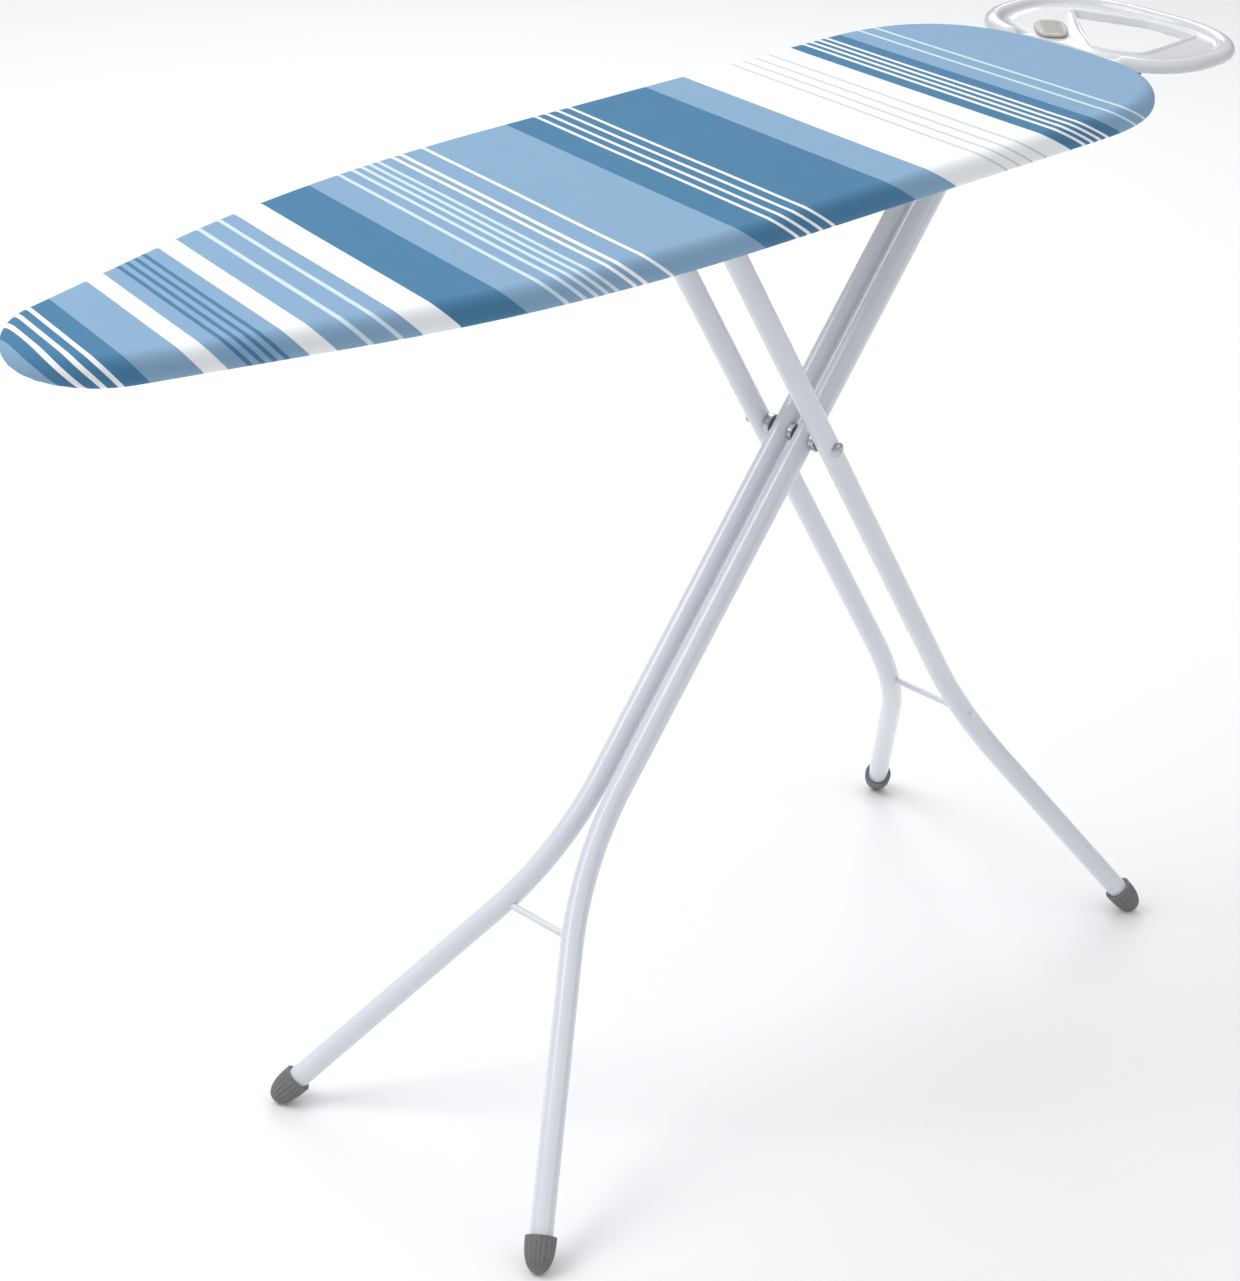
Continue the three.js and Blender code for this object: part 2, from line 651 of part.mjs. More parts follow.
class Coil extends THREE.Curve {
  constructor(radius, turns, y0, y1) {
    super();
    Object.assign(this, { radius, turns, y0, y1 });
  }

  getPoint(t, target = new THREE.Vector3()) {
    const angle = t * this.turns * 2 * Math.PI;
    return target.set(this.radius * Math.cos(angle), THREE.MathUtils.lerp(this.y0, this.y1, t),
      this.radius * Math.sin(angle));
  }
}

function makeLock() {
  const lock = new THREE.Group();
  lock.position.set(crossbar.x, 0, crossbar.y);
  lock.rotation.y = railSlope;
  board.add(lock);
  const boreRadius = tubeDiameter / 2 + 1.5 * gap;

  for (const [hand, side] of hands) {
    const [y0, y1] = span(side, shoeInner, shoeInner + shoeWidth);
    const block = new THREE.BoxGeometry(shoeLength, shoeWidth, shoeHeight)
      .translate(0, (y0 + y1) / 2, 0);
    add(lock, `slider_shoe_${hand}`, 'nylon',
      cut(block, barAlongY(rodDiameter + 2 * gap, y0 - 1, y1 + 1)));
  }

  // the pawl turns on the crossbar; its tooth points up at the rack
  const toothTip = rackClearance - 1;
  const hub = barAlongY(2 * hubOuterRadius, -pawlWidth / 2, pawlWidth / 2, 0, 0, 28);
  const toothRoot = hubOuterRadius - 2;
  const tooth = plateAlongY([
    v2(0, toothRoot / 2), v2(toothRoot, leverRoot), v2(toothRoot + 1, toothTip - pawlTipWidth),
    v2(toothRoot - 2, toothTip), v2(toothRoot - 2 - pawlTipWidth, toothTip), v2(0, toothRoot),
  ], -pawlWidth / 2, pawlWidth / 2);
  const armHalf = leverDiameter;
  const armEnd = -leverReach - pawlArmRoom;
  const arm = plateAlongY([
    v2(armEnd, -leverRoot - armHalf), v2(-armHalf, -leverRoot - armHalf),
    v2(-armHalf, armHalf - leverRoot), v2(armEnd, armHalf - leverRoot),
  ], -pawlWidth / 2, pawlWidth / 2);
  const crossbarBore = barAlongY(2 * boreRadius, -pawlWidth, pawlWidth, 0, 0, 28);
  add(lock, 'lock_pawl', 'zinc', cut(join(hub, tooth, arm), crossbarBore));

  // the lever leaves the pawl sideways, dips under the left-hand rail and rises to its grip
  const railEdge = railWeb + steelWall;
  const gripStart = railEdge + gripRoom;
  const gripWall = (gripDiameter - leverDiameter) / 4;
  const gripBlind = gripLength - 2 * gripWall; // depth of the grip's bore
  const route = [
    v2(pawlWidth / 2 + gap, -leverRoot),
    v2(pawlWidth / 2 + leverBend, -leverRoot - 1),
    v2(shoeInner - leverBend, -0.8 * leverDip),
    v2(shoeInner, -leverDip),
    v2(railEdge + leverDiameter / 2, -leverDip),
    v2(railEdge + leverBend, -0.4 * leverDip),
    v2(gripStart - 2, -1),
    v2(gripStart + leverDiameter, 0),
    v2(gripStart + gripBlind, 0),
  ].map((p) => v3(-leverReach, p.x, p.y));
  add(lock, 'release_lever', 'zinc',
    tube(new THREE.CatmullRomCurve3(route, false, 'centripetal'), leverDiameter, 30, 8));
  const g = gripDiameter / 2;
  const boreGrip = leverDiameter / 2 + gap;
  const grip = new THREE.LatheGeometry([
    v2(0, gripLength), v2(g - gripWall, gripLength - 1), v2(g, gripLength - 2 * gripWall),
    v2(g, gripWall), v2(g - 1, 0), v2(boreGrip, 0), v2(boreGrip, gripBlind), v2(0, gripBlind),
  ].reverse(), 20)
    .translate(-leverReach, gripStart + leverDiameter / 3, 0);
  add(lock, 'lever_grip', 'nylon', grip);

  const springRadius = tubeDiameter / 2 + springWire / 2 + 4 * gap;
  const springStart = -pawlWidth / 2 - springWire / 2 - gap;
  const springEnd = springStart - 2 * springTurns * springWire;
  const coil = new Coil(springRadius, springTurns, springStart, springEnd);
  add(lock, 'lever_spring', 'zinc', tube(coil, springWire, 12 * springTurns, 6));
}

// ---------------------------------------------------------------- iron rest

function makeIronRest() {
  const halfLength = (restReach + restGap * 2) / 2 + 2;
  const centreX = boardLength + restReach - halfLength;
  const ring = [];
  const steps = 48;
  for (let i = 0; i < steps; i += 1) {
    const angle = (i / steps) * 2 * Math.PI;
    const c = Math.cos(angle);
    const s = Math.sin(angle);
    ring.push(v2(centreX + halfLength * Math.sign(c) * Math.abs(c) ** (2 / restPower),
      restOffset + restHalfWidth * Math.sign(s) * Math.abs(s) ** (2 / restPower)));
  }
  const top = boardHeight - 1;
  const bottom = top - restThickness;
  const floorTop = bottom + restFloor;

  // the way through: its corners, each one rounded
  const corners = restOpening.map(([fromTail, sideways]) => v2(boardLength + fromTail, sideways));
  const opening = new THREE.Shape();
  corners.forEach((corner, i) => {
    const before = corners[(i + corners.length - 1) % corners.length];
    const after = corners[(i + 1) % corners.length];
    const start = corner.clone().add(before.clone().sub(corner).setLength(restOpeningRounding));
    const end = corner.clone().add(after.clone().sub(corner).setLength(restOpeningRounding));
    if (i === 0) opening.moveTo(start.x, start.y);
    else opening.lineTo(start.x, start.y);
    opening.quadraticCurveTo(corner.x, corner.y, end.x, end.y);
  });
  opening.closePath();

  const tray = cut(
    roundedSlab(ring, bottom, top, restRounding),
    slab(inset(outline, -restGap), bottom - 1, top + 1),
    slab(opening.getPoints(4), bottom - 1, top + 1),
    slab(inset(ring, restRim).filter((p) => p.x > boardLength + 2 * restGap), floorTop, top + 1),
  );
  add(board, 'iron_rest_tray', 'restPlastic', tray);

  const base = new THREE.BoxGeometry(restPadLength, restPadWidth, restPadThickness);
  const ribs = [];
  for (let i = 0; i < restPadRibs; i += 1) {
    const x = (i - (restPadRibs - 1) / 2) * (restPadLength / (restPadRibs + 1));
    ribs.push(new THREE.BoxGeometry(ribWidth, restPadWidth - 2 * ribMargin, restPadThickness)
      .translate(x, 0, restPadThickness / 2));
  }
  const ribbed = join(base, ...ribs).rotateZ(restPadTurn).translate(
    boardLength + restPadFromTail,
    restPadSideways,
    floorTop + gap + restPadThickness / 2,
  );
  add(board, 'iron_rest_pad', 'restPad', ribbed);

  // two bars carry the rest from a channel under the tail
  const low = skirtBottom - drawcordDiameter / 2 - gap - armDiameter / 2;
  const high = bottom - gap - armDiameter / 2;
  const rise = 2 * armDiameter;
  const bend = boardLength + rise + 8;
  const armStart = boardLength - armInside;
  for (const [hand, side] of hands) {
    const y = side * armHalfSpacing;
    const route = [v3(armStart, y, low), v3((armStart + bend) / 2, y, low)];
    const riseSteps = 8;
    for (let i = 0; i <= riseSteps; i += 1) {
      const share = i / riseSteps;
      const climb = share * share * (3 - 2 * share);
      route.push(v3(bend + (share - 0.5) * 2 * rise, y, THREE.MathUtils.lerp(low, high, climb)));
    }
    route.push(v3(boardLength + armOutside, y, high));
    const bar = new THREE.CatmullRomCurve3(route, false, 'centripetal');
    add(board, `rest_arm_${hand}`, 'arm', tube(bar, armDiameter, 36, 8));
    const clampTop = channelBottom - gap;
    const clampBottom = low - armDiameter / 2 - bracketThickness;
    const clamp = new THREE.BoxGeometry(channelWidth - 2, 2 * armDiameter, clampTop - clampBottom)
      .translate(tailChannelX, y, (clampTop + clampBottom) / 2);
    const seatRadius = armDiameter / 2 + gap;
    const seat = new THREE.CylinderGeometry(seatRadius, seatRadius, 2 * channelWidth, 20)
      .rotateZ(Math.PI / 2).translate(tailChannelX, y, low);
    add(board, `arm_clamp_${hand}`, 'zinc', cut(clamp, seat));
  }
}

// ---------------------------------------------------------------- the whole board

makeTop();
makeChannel('channel_nose', noseChannelX);
makeChannel('channel_front', frontChannelX);
makeChannel('channel_rear', rearChannelX);
makeChannel('channel_hinge', hinge.x);
makeChannel('channel_tail', tailChannelX);
makeStand();
makeHinge();
makeRails();
makeRack();
makeLock();
makeIronRest();

board.updateMatrixWorld(true);
const bounds = new THREE.Box3().setFromObject(board, true);
board.position.set(
  -(bounds.min.x + bounds.max.x) / 2,
  -(bounds.min.y + bounds.max.y) / 2,
  -bounds.min.z,
);
board.name = 'ironing_board';

export default board;
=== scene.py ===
# %% [markdown]
# # A folding ironing board, dressed with numpy surfaces
# The steel stand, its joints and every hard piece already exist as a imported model. This lesson
# loads that model as a fixed frame and then makes what a maker would notice by eye: the striped
# cotton cover, its gathered hem, bent enamelled tube, ribbed feet and a moulded iron rest.
# Sizes are in millimetres from the tip of the nose while a shape is worked out, because that is
# how the board is drawn; one helper turns them into metres at the very end.

import json
import math

import bmesh
import bpy
import numpy as np
from mathutils import Matrix, Vector


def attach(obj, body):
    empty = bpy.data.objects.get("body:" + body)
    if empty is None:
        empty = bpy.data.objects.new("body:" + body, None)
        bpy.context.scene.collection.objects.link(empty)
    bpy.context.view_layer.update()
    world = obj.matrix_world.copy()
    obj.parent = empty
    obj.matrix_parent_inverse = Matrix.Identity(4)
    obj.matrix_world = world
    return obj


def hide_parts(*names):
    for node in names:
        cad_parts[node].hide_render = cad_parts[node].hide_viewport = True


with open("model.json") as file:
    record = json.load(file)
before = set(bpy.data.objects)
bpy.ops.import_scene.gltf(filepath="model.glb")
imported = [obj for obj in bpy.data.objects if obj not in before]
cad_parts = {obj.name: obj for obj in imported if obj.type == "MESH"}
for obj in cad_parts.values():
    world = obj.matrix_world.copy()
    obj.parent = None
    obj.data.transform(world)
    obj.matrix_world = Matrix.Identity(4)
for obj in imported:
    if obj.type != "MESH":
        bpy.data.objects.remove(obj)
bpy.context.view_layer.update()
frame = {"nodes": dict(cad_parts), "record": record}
print("frame loaded with", len(frame["nodes"]), "nodes")

# %% [markdown]
# ## From a drawing to a mesh
# Every new piece here is a grid of points. A grid can be an open cloth, a tube (joined across
# its columns) or a ring (joined both ways). The helper sews the grid with quads, welds the seam
# and the poles, and turns the faces outwards, so that each piece is one closed skin.

# %% Helpers: metres, sewing and joining
NOSE_TO_MIDDLE = 661.0


HANDS = (("left", 1), ("right", -1))


def to_row(points):
    """Millimetres from the nose become metres in the row frame: (p - (661, 0, 0)) / 1000."""
    return (np.asarray(points, float) - np.array([NOSE_TO_MIDDLE, 0.0, 0.0])) / 1000.0


def grid_faces(rows, cols, wrap):
    """The quads of a rows x cols grid, and each quad's four (row, column) places unwrapped."""
    i, j = np.meshgrid(
        np.arange(rows if wrap[0] else rows - 1),
        np.arange(cols if wrap[1] else cols - 1),
        indexing="ij",
    )
    i, j = i.ravel(), j.ravel()
    corner_i = np.stack([i, i + 1, i + 1, i], 1)
    corner_j = np.stack([j, j, j + 1, j + 1], 1)
    return (corner_i % rows) * cols + corner_j % cols, corner_i, corner_j


def finish_mesh(mesh, sharp=38.0, turn_out=True):
    """Welds coincident points, turns faces outwards and shades smooth up to an angle."""
    work = bmesh.new()
    work.from_mesh(mesh)
    bmesh.ops.remove_doubles(work, verts=work.verts, dist=2e-6)
    if turn_out:
        bmesh.ops.recalc_face_normals(work, faces=work.faces)
    work.to_mesh(mesh)
    work.free()
    mesh.shade_smooth()
    mesh.set_sharp_from_angle(angle=math.radians(sharp))


def add_object(name, data):
    """A new object in the scene."""
    made = bpy.data.objects.new(name, data)
    bpy.context.scene.collection.objects.link(made)
    return made


def sew(name, grid, wrap=(False, True), uv=None, sharp=38.0):
    """One object from a grid of points. uv holds one pair of numbers for each grid point, with
    a spare row or column where that way is joined, and becomes the map "flat"."""
    faces, corner_i, corner_j = grid_faces(*grid.shape[:2], wrap)
    mesh = bpy.data.meshes.new(name)
    mesh.from_pydata(to_row(grid.reshape(-1, 3)).tolist(), [], faces.tolist())
    if uv is not None:
        layer = mesh.uv_layers.new(name="flat")
        layer.uv.foreach_set("vector", uv[corner_i, corner_j].astype(np.float32).ravel())
    finish_mesh(mesh, sharp)
    return add_object(name, mesh)


def dress(piece, body, look, slot, *nodes):
    """Gives a piece its material and its body, and hides the CAD nodes that it stands for. The slot is not
    used.
    """
    piece.data.materials.clear()
    piece.data.materials.append(look)
    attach(piece, body)
    if nodes:
        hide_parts(*nodes)
    return piece


# %% [markdown]
# ## Carrying a section along a path, and turning a profile
# Bent tube is a circle carried along a curve. All the curves here lie nearly in one plane, so a
# single sideways direction keeps the circle from twisting. Turned pieces, such as rivets and
# feet, are a profile spun round an axis. Both are written once and used for many pieces.

# %% Helpers: sweep and lathe
def around(count):
    """Angles spaced evenly round a circle."""
    return np.arange(count) / count * 2 * np.pi


def circle(radius, count=24):
    """Points of a circle: radius * (cos a, sin a)."""
    angle = around(count)
    return radius * np.stack([np.cos(angle), np.sin(angle)], 1)


def ends_twice(run):
    """A run with two more copies of its first and last rows, for the ends of a sweep."""
    return np.concatenate([run[:1], run[:1], run, run[-1:], run[-1:]])


def sweep(path, section, side, chamfer=0.0):
    """point(i, j) = path_i + a_j * normal_i + b_j * binormal_i, where normal is the part of side
    square to the path. The flat ends have a small chamfer and close on the path."""
    path = np.asarray(path, float)
    tangent = np.gradient(path, axis=0)
    tangent /= np.linalg.norm(tangent, axis=1, keepdims=True)
    side = np.broadcast_to(np.asarray(side, float), path.shape)
    normal = side - (side * tangent).sum(1, keepdims=True) * tangent
    normal /= np.linalg.norm(normal, axis=1, keepdims=True)
    first, last = path[0], path[-1]
    rim = 1 - chamfer / np.abs(section).max()
    scale = np.concatenate([[0, rim, 1], np.ones(len(path) - 2), [1, rim, 0]])
    path = np.concatenate([
        [first, first, first + chamfer * tangent[0]], path[1:-1],
        [last - chamfer * tangent[-1], last, last]])
    tangent, normal = ends_twice(tangent), ends_twice(normal)
    binormal = np.cross(tangent, normal)
    a = section[None, :, 0, None] * scale[:, None, None]
    b = section[None, :, 1, None] * scale[:, None, None]
    return path[:, None] + a * normal[:, None] + b * binormal[:, None]


def lathe(profile, origin, axis, count=40, swell=None):
    """point(k, a) = origin + along_k * axis + r * (cos a * e1 + sin a * e2), where r is the
    profile's radius plus swell(k, a) if one is given."""
    profile = np.asarray(profile, float)
    axis = np.asarray(axis, float) / np.linalg.norm(axis)
    e1 = np.cross(axis, [1.0, 0, 0] if abs(axis[0]) < 0.7 else [0, 0, 1.0])
    e1 /= np.linalg.norm(e1)
    e2 = np.cross(axis, e1)
    angle = around(count)
    radius = np.repeat(profile[:, :1], count, 1)
    if swell is not None:
        radius = radius + swell(profile[:, 1][:, None], angle[None])
    ring = np.cos(angle)[:, None] * e1 + np.sin(angle)[:, None] * e2
    return np.asarray(origin, float) + profile[:, 1][:, None, None] * axis + radius[..., None] * ring


def rod_profile(radius, low, high, chamfer=0.5):
    """A solid round bar's half outline, from its axis at one end to its axis at the other."""
    return [(0, low), (radius - chamfer, low), (radius, low + chamfer),
            (radius, (low + high) / 2), (radius, high - chamfer), (radius - chamfer, high), (0, high)]


def ring_profile(outer, inner, low, high, chamfer=0.4):
    """A tube's wall in section: a closed run round its four sides, with small chamfers."""
    c = chamfer
    return [(inner, low + c), (inner + c, low), (outer - c, low), (outer, low + c),
            (outer, high - c), (outer - c, high), (inner + c, high), (inner, high - c)]


# %% [markdown]
# ## The camera
# The board is seen from the left of its nose and from above, through a long lens, so the legs
# stay nearly parallel. A camera object holds its own axes in the columns of its matrix: right,
# up and backwards. A small roll and shift put the board where a product page would have it.

# %% Camera
AZIMUTH, ELEVATION, ROLL = math.radians(-47.379), math.radians(27.069), math.radians(2.703)
CAMERA_PLACE = (-1.742165, -1.546128, 1.606288)
back = np.array([
    math.sin(AZIMUTH) * math.cos(ELEVATION),
    -math.cos(AZIMUTH) * math.cos(ELEVATION),
    math.sin(ELEVATION),
])
right = np.cross(-back, [0, 0, 1.0])
right /= np.linalg.norm(right)
up = np.cross(right, -back)
rolled_right = math.cos(ROLL) * right + math.sin(ROLL) * up
rolled_up = -math.sin(ROLL) * right + math.cos(ROLL) * up
lens = bpy.data.cameras.new("product_camera")
lens.lens, lens.sensor_width = 85.12, 36.0
lens.shift_x, lens.shift_y = -0.00358, 0.00082
lens.clip_start, lens.clip_end = 0.05, 60.0
camera = add_object("product_camera", lens)
pose = Matrix.Identity(4)
for column, axis in enumerate((rolled_right, rolled_up, back)):
    pose[0][column], pose[1][column], pose[2][column] = axis
pose.translation = CAMERA_PLACE
camera.matrix_world = pose
bpy.context.scene.camera = camera
print("camera", [round(float(c), 3) for c in pose.translation], "lens", lens.lens)

# %% [markdown]
# ## Light and floor
# Shop pictures of white enamel need light from everywhere and a little more from one side, or
# the round tubes look flat. The world is white overhead and grey at the horizon, which gives the
# tubes their darker flanks; two wide soft boxes behind the board leave its near edge in
# shade, and a narrow one on the right draws the pale streaks down the tubes.

# %% Light and floor
scene = bpy.context.scene
scene.view_settings.view_transform = "Standard"
world = bpy.data.worlds.new("white_room")
scene.world = world
world.use_nodes = True
room = world.node_tree
direction = room.nodes.new("ShaderNodeTexCoord")
split = room.nodes.new("ShaderNodeSeparateXYZ")
climb = room.nodes.new("ShaderNodeMapRange")
climb.inputs["From Min"].default_value, climb.inputs["From Max"].default_value = 0.0, 0.75
blend = room.nodes.new("ShaderNodeMix")
blend.data_type = "RGBA"
blend.inputs[6].default_value = (0.16, 0.17, 0.19, 1)
blend.inputs[7].default_value = (0.98, 0.99, 1.0, 1)
room.links.new(direction.outputs["Generated"], split.inputs[0])
room.links.new(split.outputs["Z"], climb.inputs["Value"])
room.links.new(climb.outputs[0], blend.inputs[0])
room.links.new(blend.outputs[2], room.nodes["Background"].inputs["Color"])
room.nodes["Background"].inputs["Strength"].default_value = 0.9


def soft_box(name, place, target, width, height, power):
    """An area light at place that looks at target."""
    data = bpy.data.lights.new(name, "AREA")
    data.shape, data.size, data.size_y, data.energy = "RECTANGLE", width, height, power
    lamp = add_object(name, data)
    lamp.rotation_mode = "QUATERNION"
    lamp.rotation_quaternion = (Vector(target) - Vector(place)).to_track_quat("-Z", "Y")
    lamp.location = place


soft_box("behind_the_nose", (-2.0, 1.5, 3.2), (0, 0, 0.5), 2.2, 2.2, 62)
soft_box("along_the_right", (1.2, -2.8, 1.9), (0, 0, 0.4), 2.8, 0.3, 7)
soft_box("behind_the_tail", (2.2, 2.2, 2.6), (0, 0, 0.5), 2.0, 2.0, 30)

bpy.ops.mesh.primitive_plane_add(size=40, location=(0, 0, -0.0004))
floor = bpy.context.object
floor.name = "studio_floor"

# %% [markdown]
# ## Materials
# A finish is a small tree of nodes. The helpers below make a tree and wire a node in one line.
# All patterns read Object coordinates, which are metres on these pieces because every object
# sits at the origin, except cloth and cord, which read the flat map sewn into their mesh.

# %% Helpers: material nodes
class Look:
    """A material being built: its tree, its main shader and its coordinates."""

    def __init__(self, name, base, roughness, metallic=0.0):
        self.material = bpy.data.materials.new(name)
        self.material.use_nodes = True
        self.tree = self.material.node_tree
        self.shader = self.tree.nodes["Principled BSDF"]
        self.coords = self.tree.nodes.new("ShaderNodeTexCoord")
        self.preset(Base_Color=base, Roughness=roughness, Metallic=metallic)

    def preset(self, **values):
        """Sets the main shader's inputs by name, with _ for a space."""
        for key, value in values.items():
            self.shader.inputs[key.replace("_", " ")].default_value = value

    def add(self, kind, settings=None, **links):
        """Makes a node, sets its properties and links or sets its inputs, by name or number."""
        made = self.tree.nodes.new(kind)
        for key, value in (settings or {}).items():
            setattr(made, key, value)
        for key, value in links.items():
            socket = made.inputs[int(key[2:])] if key.startswith("in") and key[2:].isdigit() \
                else made.inputs[key.replace("_", " ")]
            if isinstance(value, bpy.types.NodeSocket):
                self.tree.links.new(value, socket)
            else:
                socket.default_value = value
        return made

    def math(self, operation, a, b=0.0, c=0.0):
        """One Math node's result."""
        return self.add("ShaderNodeMath", {"operation": operation}, in0=a, in1=b, in2=c).outputs[0]

    def noise(self, scale, detail=3.0, rough=0.55, where="Object"):
        """Noise from 0 to 1, with scale in waves per metre."""
        return self.add("ShaderNodeTexNoise", Vector=self.coords.outputs[where], Scale=scale,
                        Detail=detail, Roughness=rough).outputs["Fac"]

    def between(self, value, low, high):
        """A number from 0 to 1 moved to lie from low to high."""
        return self.add("ShaderNodeMapRange", Value=value, To_Min=low, To_Max=high).outputs[0]

    def mix(self, share, a, b):
        """Colour a where share is 0 and colour b where it is 1."""
        return self.add("ShaderNodeMix", {"data_type": "RGBA"}, in0=share, in6=a, in7=b).outputs[2]

    def colour(self, value):
        """Drives the main colour."""
        self.tree.links.new(value, self.shader.inputs["Base Color"])

    def mottled(self, share, low, high):
        """Lets the main colour drift between two screen colours."""
        self.colour(self.mix(share, rgb(*low), rgb(*high)))

    def rough(self, value):
        """Drives the roughness."""
        self.tree.links.new(value, self.shader.inputs["Roughness"])

    def bump(self, height, distance, strength=1.0):
        """Drives the normal from a height, with distance in metres."""
        made = self.add("ShaderNodeBump", Height=height, Distance=distance, Strength=strength)
        self.tree.links.new(made.outputs[0], self.shader.inputs["Normal"])


def rgb(red, green, blue):
    """A colour given as 0 to 255 on a screen, as the opaque linear colour that shaders use."""
    c = np.array([red, green, blue], float) / 255
    linear = np.where(c <= 0.04045, c / 12.92, ((c + 0.055) / 1.055) ** 2.4)
    return (*linear.tolist(), 1.0)


# %% [markdown]
# ### Floor, enamel and zinc
# Powder coat is glossy but never mirror flat: it has a faint orange peel a few millimetres
# wide and thin spots of dust. Zinc plate is duller and cloudier, with colour that drifts.

# %% Floor, enamel, zinc and the dark arms
paper = Look("studio_paper", (0.90, 0.905, 0.91, 1), 0.9)
paper.rough(paper.between(paper.noise(3.0), 0.85, 0.95))
floor.data.materials.append(paper.material)

enamel = Look("white_enamel", rgb(234, 236, 242), 0.24)
drift = enamel.noise(9.0, 4.0)
enamel.mottled(drift, (216, 220, 228), (226, 229, 235))
enamel.rough(enamel.between(enamel.noise(60.0, 4.0), 0.18, 0.28))
enamel.bump(enamel.noise(260.0, 1.0), 0.00005, 0.35)
enamel.preset(Coat_Weight=0.5, Coat_Roughness=0.08)

zinc = Look("zinc_plate", rgb(196, 199, 204), 0.34, 1.0)
cloud = zinc.noise(60.0, 6.0, 0.7)
zinc.mottled(cloud, (168, 171, 178), (214, 215, 214))
zinc.rough(zinc.between(zinc.noise(300.0, 4.0), 0.26, 0.46))
zinc.bump(zinc.noise(900.0, 2.0), 0.00006, 0.6)

dark_arm = Look("dark_arm_enamel", rgb(70, 72, 76), 0.4)
dark_arm.mottled(dark_arm.noise(40.0, 4.0), (58, 60, 64), (84, 86, 90))
dark_arm.bump(dark_arm.noise(500.0), 0.0001, 0.5)

# %% [markdown]
# ### Plastics
# The feet are a soft grey plastic with a fine spark-eroded grain. The iron rest is a thick
# milky moulding: light goes a little way in, so it has subsurface scattering under its gloss.

# %% Plastics
foot_grey = Look("foot_grey", rgb(106, 107, 108), 0.55)
foot_grey.mottled(foot_grey.noise(180.0, 5.0, 0.7), (98, 99, 100), (126, 127, 128))
foot_grey.rough(foot_grey.between(foot_grey.noise(400.0), 0.45, 0.7))
foot_grey.bump(foot_grey.noise(1500.0, 2.0), 0.0001, 0.6)

nylon = Look("black_nylon", rgb(44, 45, 47), 0.45)
nylon.mottled(nylon.noise(90.0, 4.0), (34, 35, 37), (58, 59, 61))
nylon.bump(nylon.noise(1400.0, 2.0), 0.00008, 0.6)

milky = Look("milky_moulding", rgb(226, 228, 231), 0.14)
milky.mottled(milky.noise(14.0, 3.0), (208, 210, 214), (232, 233, 235))
milky.rough(milky.between(milky.noise(60.0, 4.0), 0.08, 0.22))
milky.preset(Subsurface_Weight=0.25, Subsurface_Radius=(0.006, 0.006, 0.007),
             Transmission_Weight=0.08, IOR=1.49, Coat_Weight=0.3)
milky.bump(milky.noise(160.0, 2.0), 0.00012, 0.4)

rib_grey = Look("ribbed_pad_grey", rgb(170, 168, 162), 0.35)
rib_grey.mottled(rib_grey.noise(220.0, 5.0, 0.7), (146, 144, 138), (196, 194, 188))
rib_grey.bump(rib_grey.noise(1100.0, 3.0), 0.00015, 0.7)
print("hard finishes", [m.name for m in bpy.data.materials])

# %% [markdown]
# ### Striped cotton
# The print runs across the board in bands and fine lines, a little off the straight grain. Each
# band and line is one Compare node: 1 where the print coordinate is within half a width of its
# middle. Summing them gives a mask per ink. Two crossed waves under half a millimetre wide give
# the plain weave, and the sheen lifts the edges as brushed cotton does. The weave also darkens
# the print a little in its hollows, which is painted shade.

# %% Cotton print
DARK = [(0, 56), (285, 339), (564, 733), (926, 995),
        (125, 129), (134, 138), (143, 147), (152, 156)]
WHITE = [(-60, -56), (9.5, 14), (22, 26.5), (33.7, 38), (94, 111), (170, 190), (255, 285),
         (432, 436), (441.5, 446), (467, 471),
         (597, 601), (609.5, 613.5), (623, 627), (637, 641), (782, 926),
         (942.5, 947), (953, 957.5), (963.5, 968), (974, 978.3)]
PALE = [(213, 217.5), (236, 240.2), (371, 375.2), (386.5, 390.7), (397, 401), (406.3, 410.3),
        (415.7, 419.5), (1018.7, 1022.7), (1038, 1042)]
GREY = [(842.5, 846), (858.7, 862.2), (874.5, 878), (892.5, 896)]


